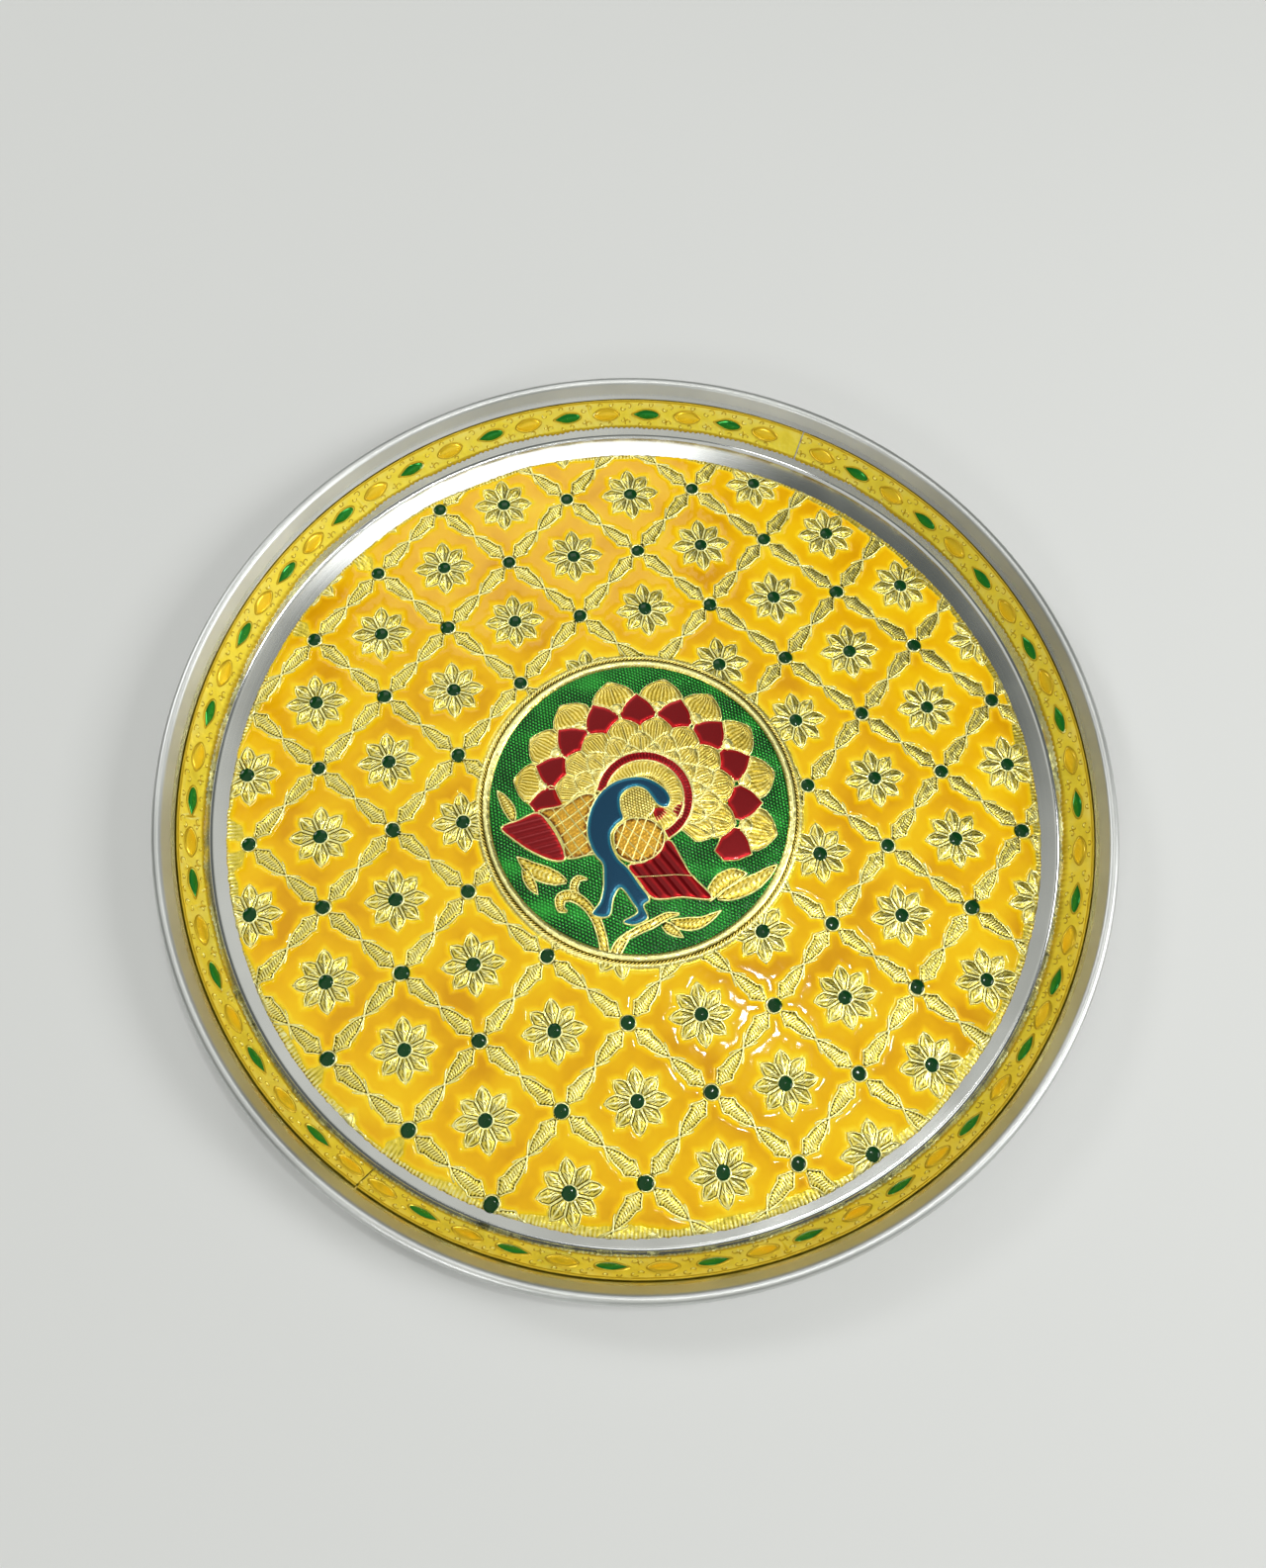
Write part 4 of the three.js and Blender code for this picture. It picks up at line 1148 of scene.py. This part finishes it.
red_wires = [cell_wire(line, 0.72, 0.5) for line in red_lines]
low_wires = [cell_wire(collar_line, COLLAR + 0.22), cell_wire(beak_line, COLLAR + 0.2, 0.5)]
left_wires = [cell_wire(left_wing_line, WING + 0.2), cell_wire(left_shoulder_line, WING + 0.25)]
right_wire = cell_wire(right_wing_line, WING + 0.2)
shoulder_net = [
    wires_across(left_shoulder_line, math.radians(32), 3.4, WING + 0.5, WING - 0.1),
    wires_across(left_shoulder_line, math.radians(-62), 3.4, WING + 0.45, WING - 0.1),
]
crest = smooth([[-4.3, -23.9], [3, -24.4], [9, -24.7], [14.4, -25.8]], closed=False)
wires = [
    cut(joined(red_wires), second_lines + upper, 0.1),
    cut(joined(low_wires), [neck_line, oval_line, right_wing_line], 0.3),
    cut(joined(left_wires), [neck_line], 0.3),
    cut(right_wire, [oval_line, neck_line], 0.3),
    cell_wire(oval_line, OVAL + 0.25),
    cell_wire(neck_line, NECK_LEVEL + 0.25, 0.7),
    cut(joined(shoulder_net), [neck_line], 0.3),
    wire(crest, 0.5, WING + 0.35, WING - 0.1),
    wires_across(oval_line, math.radians(62), 3.0, OVAL + 0.75, OVAL - 0.1),
    wires_across(oval_line, math.radians(-50), 3.4, OVAL + 0.7, OVAL - 0.1),
]
print("wires:", len(joined(wires)[1]), "faces")

# %% Border and the whole foil
TEETH = 270  # strands of the border's two twisted beads
border_radii = (48.4, 48.8, 49.15, 49.6, 50.2, 50.8, 51.15, 51.5, 52, 52.6, 53, 53.3, 53.45)
border_heights = (-0.1, 0.22, 0.5, 0.66, 0.74, 0.62, 0.34, 0.36, 0.62, 0.7, 0.5, 0.15, -0.35)
border = rings((0, 0), border_radii, border_heights, 2 * TEETH)
border[::2, 3:6, 2] += 0.2  # the inner bead's strands
border[::2, 8:11, 2] -= 0.4  # the outer bead's, which are deeper
border[::2, 9:12, :2] *= 0.993  # and lean inwards
base = rings((0, 0), (48.6, 40, 20, 0.1), (0, 0, 0, 0), 96)
flat_parts = [grid(border, closed=True), grid(base, closed=True), tail, halo, disc]
whole = moved(joined(flat_parts + leaves + wires), 0, *MEDALLION)
medallion_gold = embossed_foil("medallion gold foil", "#2C2004", "#DCBE42", "#FFF8A8", 0.4, 0.28)
medallion_slots = "medallion_foil", ["medallion_foil"]
on_floor("medallion_foil_sheet", whole, MEDALLION_FACE, medallion_gold, *medallion_slots)

# %% [markdown]
# ## The bands on the wall
# Two strips of a deeper gold foil stand on the wall, from one seam to the other. Their lower
# edge is notched, their face has fine scrolls, and along the middle leaves of green enamel
# and ovals of yellow take turns. Each motif is drawn flat and then bent onto the wall.

# %% Draw on the wall
BAND_START = 3.6  # up the wall from its foot
BAND_WIDTH = 10.6
BAND_FACE = 0.35 + FOIL  # off the wall: the foil stands a little proud
MIDDLE = BAND_START + BAND_WIDTH / 2
REACH = WALL_FOOT + MIDDLE * math.cos(WALL_ANGLE)


def on_wall(name, part, material, slot, replaces=(), **marks):
    """Places a drawing whose x is mm along the wall, y mm up from the band's middle."""
    vertices, quads = part
    flat = facing_up(vertices, quads)
    azimuth = vertices[:, 0] / REACH
    along = MIDDLE + vertices[:, 1]
    off = BAND_FACE + vertices[:, 2]
    radius = WALL_FOOT + along * math.cos(WALL_ANGLE) - off * math.sin(WALL_ANGLE)
    rise = SHEET + along * math.sin(WALL_ANGLE) + off * math.cos(WALL_ANGLE)
    placed = np.column_stack([radius * np.cos(azimuth), radius * np.sin(azimuth), rise])
    return make_piece(name, placed, flat, marks, material, replaces)


# Azimuths in degrees of the leaves, which were stamped at slightly uneven steps.
LEAVES_LEFT = [
    70.2, 82.3, 93.8, 105.3, 117.9, 129.8, 141.2, 151.8, 163.7, 175.7, 186.5, 198.7, 210.2, 222,
]
LEAVES_RIGHT = [
    237.3, 248.3, 259.7, 271.4, 282.8, 295, 306.2, 318, 327.4, 338.6, 351.4, 363.4, 374.3, 386.3,
    398, 410,
]
SEAM_RIGHT, SEAM_LEFT = 59.4, 229.4


SEAM_STEP = 5.6  # degrees from the last leaf to the oval beside a seam
SEAM_ROOM = 2.3  # degrees from a seam to the middle of that oval, at least


def oval_places(leaves_at, start, end):
    """Azimuths of the ovals: one midway between each two leaves, and one beside each seam."""
    ovals_at = [(a + b) / 2 for a, b in zip(leaves_at, leaves_at[1:])]
    ovals_at.append(max(leaves_at[0] - SEAM_STEP, start + SEAM_ROOM))
    ovals_at.append(min(leaves_at[-1] + SEAM_STEP, end - SEAM_ROOM))
    return sorted(ovals_at)


NOTCH = 1.9  # mm from one notch of the lower edge to the next
SAGS = ((154, 1.1), (341, 1.4))  # azimuths where the edge hangs lower, and by how many mm
SAG_REACH = 14  # degrees


def strip(start, end):
    """The base of a band between two seams, with its notched lower edge."""
    x = np.radians(np.arange(start + 0.03, end - 0.02, 0.26)) * REACH
    y = np.array([-5.2, -4.9, -4.5, -4, -2.5, 0, 2.5, 4, 4.5, 4.9, 5.15, 5.2])
    z = np.array([-0.3, 0.05, 0.12, 0, 0, 0, 0, 0, 0.05, 0.14, 0.05, -0.3])
    points = np.dstack([*np.meshgrid(x, y, indexing="ij"), np.broadcast_to(z, (len(x), len(y)))])
    tooth = np.sin(x * 2 * math.pi / NOTCH) > 0
    azimuth = np.degrees(x / REACH) % 360
    droop = sum(size * np.exp(-(((azimuth - place) / SAG_REACH) ** 2)) for place, size in SAGS)
    points[:, :3, 1] -= (0.5 * tooth + droop + 0.3 * waver(x, 0 * x, 9, 62))[:, None]
    points[:, 1:, 2] += 0.05 * waver(points[:, 1:, 0], points[:, 1:, 1], 7, 61)
    return grid(points)


def scroll(x, y, turn, size):
    """A small curl of wire."""
    angle = np.linspace(0, 4.2, 11) + turn
    radius = size * np.linspace(1, 0.25, 11)
    return wire(polar(radius, angle) + (x, y), 0.34, 0.2, -0.05)


def outline_shape(half, across, point):
    """A pointed oval about its middle; point draws out its tip towards positive x."""
    angle = np.linspace(0, 2 * math.pi, 28, endpoint=False)
    x = half * np.cos(angle)
    y = across * np.sin(angle) * (1 - point * np.clip(np.cos(angle), 0, 1) ** 1.5)
    return np.column_stack([x, y])


def rim_of(shape, x):
    """The wire round a leaf or an oval."""
    return wire(shape * 1.12 + (x, 0), 0.5, 0.42, -0.1, closed=True)


LEAF_SHAPE = (4.5, 1.75, 0.75)  # half its length, half its width and how pointed it is
OVAL_SHAPE = (4.2, 2.1, 0.0)
OVAL_TAPER = 0.35  # by how much an oval is narrower at its ends
HALF_STEP = 2.85  # degrees from a motif to the gap beside it
leaf_fills, oval_fills = [], []
for name, leaves_at, start, end in (
    ("wall_band_left", LEAVES_LEFT, SEAM_RIGHT, SEAM_LEFT),
    ("wall_band_right", LEAVES_RIGHT, SEAM_LEFT, SEAM_RIGHT + 360),
):
    parts = [strip(start, end)]
    ovals_at = oval_places(leaves_at, start, end)
    for azimuth in leaves_at:
        x = math.radians(azimuth) * REACH
        shape = outline_shape(*LEAF_SHAPE)
        parts.append(rim_of(shape, x))
        leaf_fills.append((shape, x))
    for azimuth in ovals_at:
        x = math.radians(azimuth) * REACH
        shape = outline_shape(*OVAL_SHAPE)
        shape[:, 1] *= 1 - OVAL_TAPER * (abs(shape[:, 0]) / OVAL_SHAPE[0]) ** 3
        parts.append(rim_of(shape, x))
        oval_fills.append((shape, x))
    for azimuth in sorted(leaves_at + ovals_at):
        x = math.radians(azimuth) * REACH
        gap = math.radians(azimuth + HALF_STEP) * REACH
        for side in (-1, 1):
            parts.append(scroll(gap - 0.9, side * 2.9, side * 0.6, 1.3))
            parts.append(scroll(gap + 1.3, side * 2.2, side * 0.6 + 2.6, 1.0))
            parts.append(scroll(x - 1.6, side * 3.6, side * 1.2 + 1.5, 0.9))
            parts.append(scroll(x + 1.8, side * 3.6, side * 1.2 - 1.5, 0.9))
    on_wall(name + "_sheet", joined(parts), band_gold, "band_foil", [name])

# %% Leaves and ovals of enamel
def pillow(shape, x, height):
    """Enamel that fills a closed shape and stands up in the middle."""
    rows = []
    for share in (1.08, 1, 0.92, 0.78, 0.55, 0.3, 0.02):
        rise = 0.12 + height * math.sqrt(max(1 - share**2, 0)) if share <= 1 else -0.2
        rows.append(np.column_stack([shape * share + (x, 0), np.full(len(shape), rise)]))
    return grid(np.array(rows).transpose(1, 0, 2), closed=True)


leaf_green = see_through("leaf green enamel", [(0.1, "#1C8A2C"), (0.5, "#0C5A1C")], 0.1, 0.5)
part = joined([pillow(shape, x, random.uniform(0.35, 0.5)) for shape, x in leaf_fills])
on_wall("band_leaves", part, leaf_green, "green_enamel", depth=0 * part[0][:, 2])
clear_stops = [(0.1, "#FFDC2C"), (0.4, "#F8C01C")]
clear = enamel("clear yellow enamel", clear_stops, 0.25, coat=0.5, metallic=0.6)
part = joined([pillow(shape, x, random.uniform(0.22, 0.32)) for shape, x in oval_fills])
on_wall("band_ovals", part, clear, "amber_enamel", depth=0 * part[0][:, 2])

# %% [markdown]
# ## Table
# A plain pale table, wide enough to fill every view. It is matt, so it shows the plate's soft
# shadow and no mirror image.

# %% Table
TABLE_HALF = 1.5
table_finish, shader = new_material("pale table")
shader.inputs["Base Color"].default_value = linear("#DFE0DF")
shader.inputs["Roughness"].default_value = 0.9
corners = [(x * TABLE_HALF, y * TABLE_HALF, 0) for x, y in ((-1, -1), (1, -1), (1, 1), (-1, 1))]
table_mesh = bpy.data.meshes.new("table")
table_mesh.from_pydata(corners, [], [(0, 1, 2, 3)])
table_mesh.materials.append(table_finish)
table = bpy.data.objects.new("table", table_mesh)
bpy.context.scene.collection.objects.link(table)
print("table width, m:", 2 * TABLE_HALF)

# %% [markdown]
# ## Lamps
# Five soft lamps light the plate. A weak, wide one is where the window was in the
# photograph, high and behind the plate: polished steel mirrors it as the white patch at the
# back. The key light comes low from the right and draws the relief of the foil, two weaker
# ones fill in from the left and the front, and a small one overhead makes the few wet glints
# on the yellow.

# %% Lamps
def lamp(name, place, watts, width, depth=None):
    """A soft lamp that looks at the plate; sizes and places in metres."""
    data = bpy.data.lights.new(name, "AREA")
    data.shape = "RECTANGLE"
    data.size, data.size_y = width, depth or width
    data.energy = watts
    piece = bpy.data.objects.new(name, data)
    piece.location = place
    piece.rotation_euler = (-Vector(place)).to_track_quat("-Z", "Y").to_euler()
    bpy.context.scene.collection.objects.link(piece)


LAMPS = (
    ("window", (-0.03, 1.0, 1.3), 2, 0.62, 0.5),
    ("key", (1.15, -0.35, 0.9), 9, 0.5),
    ("left side", (-0.9, 0.8, 1.0), 3.5, 0.3),
    ("front", (-0.7, -1.1, 0.9), 3, 0.3),
    ("glints", (0.19, 0.01, 1.0), 1.2, 0.05),
)
for settings in LAMPS:
    lamp(*settings)
print("lamps:", len(LAMPS))

# %% [markdown]
# ## Room
# Metal looks like what it mirrors, so the room matters more than the lamps. Its light depends
# on where one looks: overhead it is bright on the left, and dark on the right, behind the plate
# and lower down; near the table it is brightest towards the front right. A few soft steps
# between greys are enough, and they are worked out from the direction of a ray.

# %% Room
world = bpy.context.scene.world or bpy.data.worlds.new("world")
bpy.context.scene.world = world
world.use_nodes = True
sky = world.node_tree.nodes["Background"]
sky.inputs["Strength"].default_value = 0.9
way = add(world, "ShaderNodeTexCoord").outputs["Generated"]
rise = add(world, "ShaderNodeSeparateXYZ", Vector=way).outputs["Z"]


def step_up(value, low, high):
    """0 at the low value, 1 at the high one; low may be the larger."""
    limits = {"From Min": low, "From Max": high}
    return add(world, "ShaderNodeMapRange", limits, Value=value).outputs["Result"]


def towards(x, y, low, high):
    """How far a direction leans to a side."""
    lean = add(world, "ShaderNodeVectorMath", {"operation": "DOT_PRODUCT"})
    world.node_tree.links.new(way, lean.inputs[0])
    lean.inputs[1].default_value = (x, y, 0)
    return step_up(lean.outputs["Value"], low, high)


def most(first, second):
    node = add(world, "ShaderNodeMath", {"operation": "MAXIMUM"})
    world.node_tree.links.new(first, node.inputs[0])
    world.node_tree.links.new(second, node.inputs[1])
    return node.outputs[0]


dark = most(towards(0.75, 0.66, 0.28, 0.5), towards(-0.66, 0.75, 0.37, 0.48))
shade = most(most(towards(1, 0, -0.5, 1), dark), step_up(rise, 0.82, 0.68))
above_stops = [(0.1, "#FFFFFA"), (0.4, "#DCDCD4"), (0.6, "#CBCCC6"), (0.95, "#6C706C")]
around_stops = [(0.05, "#90908A"), (0.5, "#B4B4AE"), (0.75, "#E4E4DE"), (0.95, "#FFFFFA")]
above = ramp(world, shade, above_stops)
around = ramp(world, towards(0.63, -0.77, -1, 1), around_stops)
height = step_up(rise, 0.15, 0.4)
mix = add(world, "ShaderNodeMix", {"data_type": "RGBA"}, Factor=height, A=around, B=above)
room_light = [output for output in mix.outputs if output.enabled][0]
world.node_tree.links.new(room_light, sky.inputs["Color"])
bpy.context.scene.view_settings.view_transform = "Standard"
print("world nodes:", len(world.node_tree.nodes))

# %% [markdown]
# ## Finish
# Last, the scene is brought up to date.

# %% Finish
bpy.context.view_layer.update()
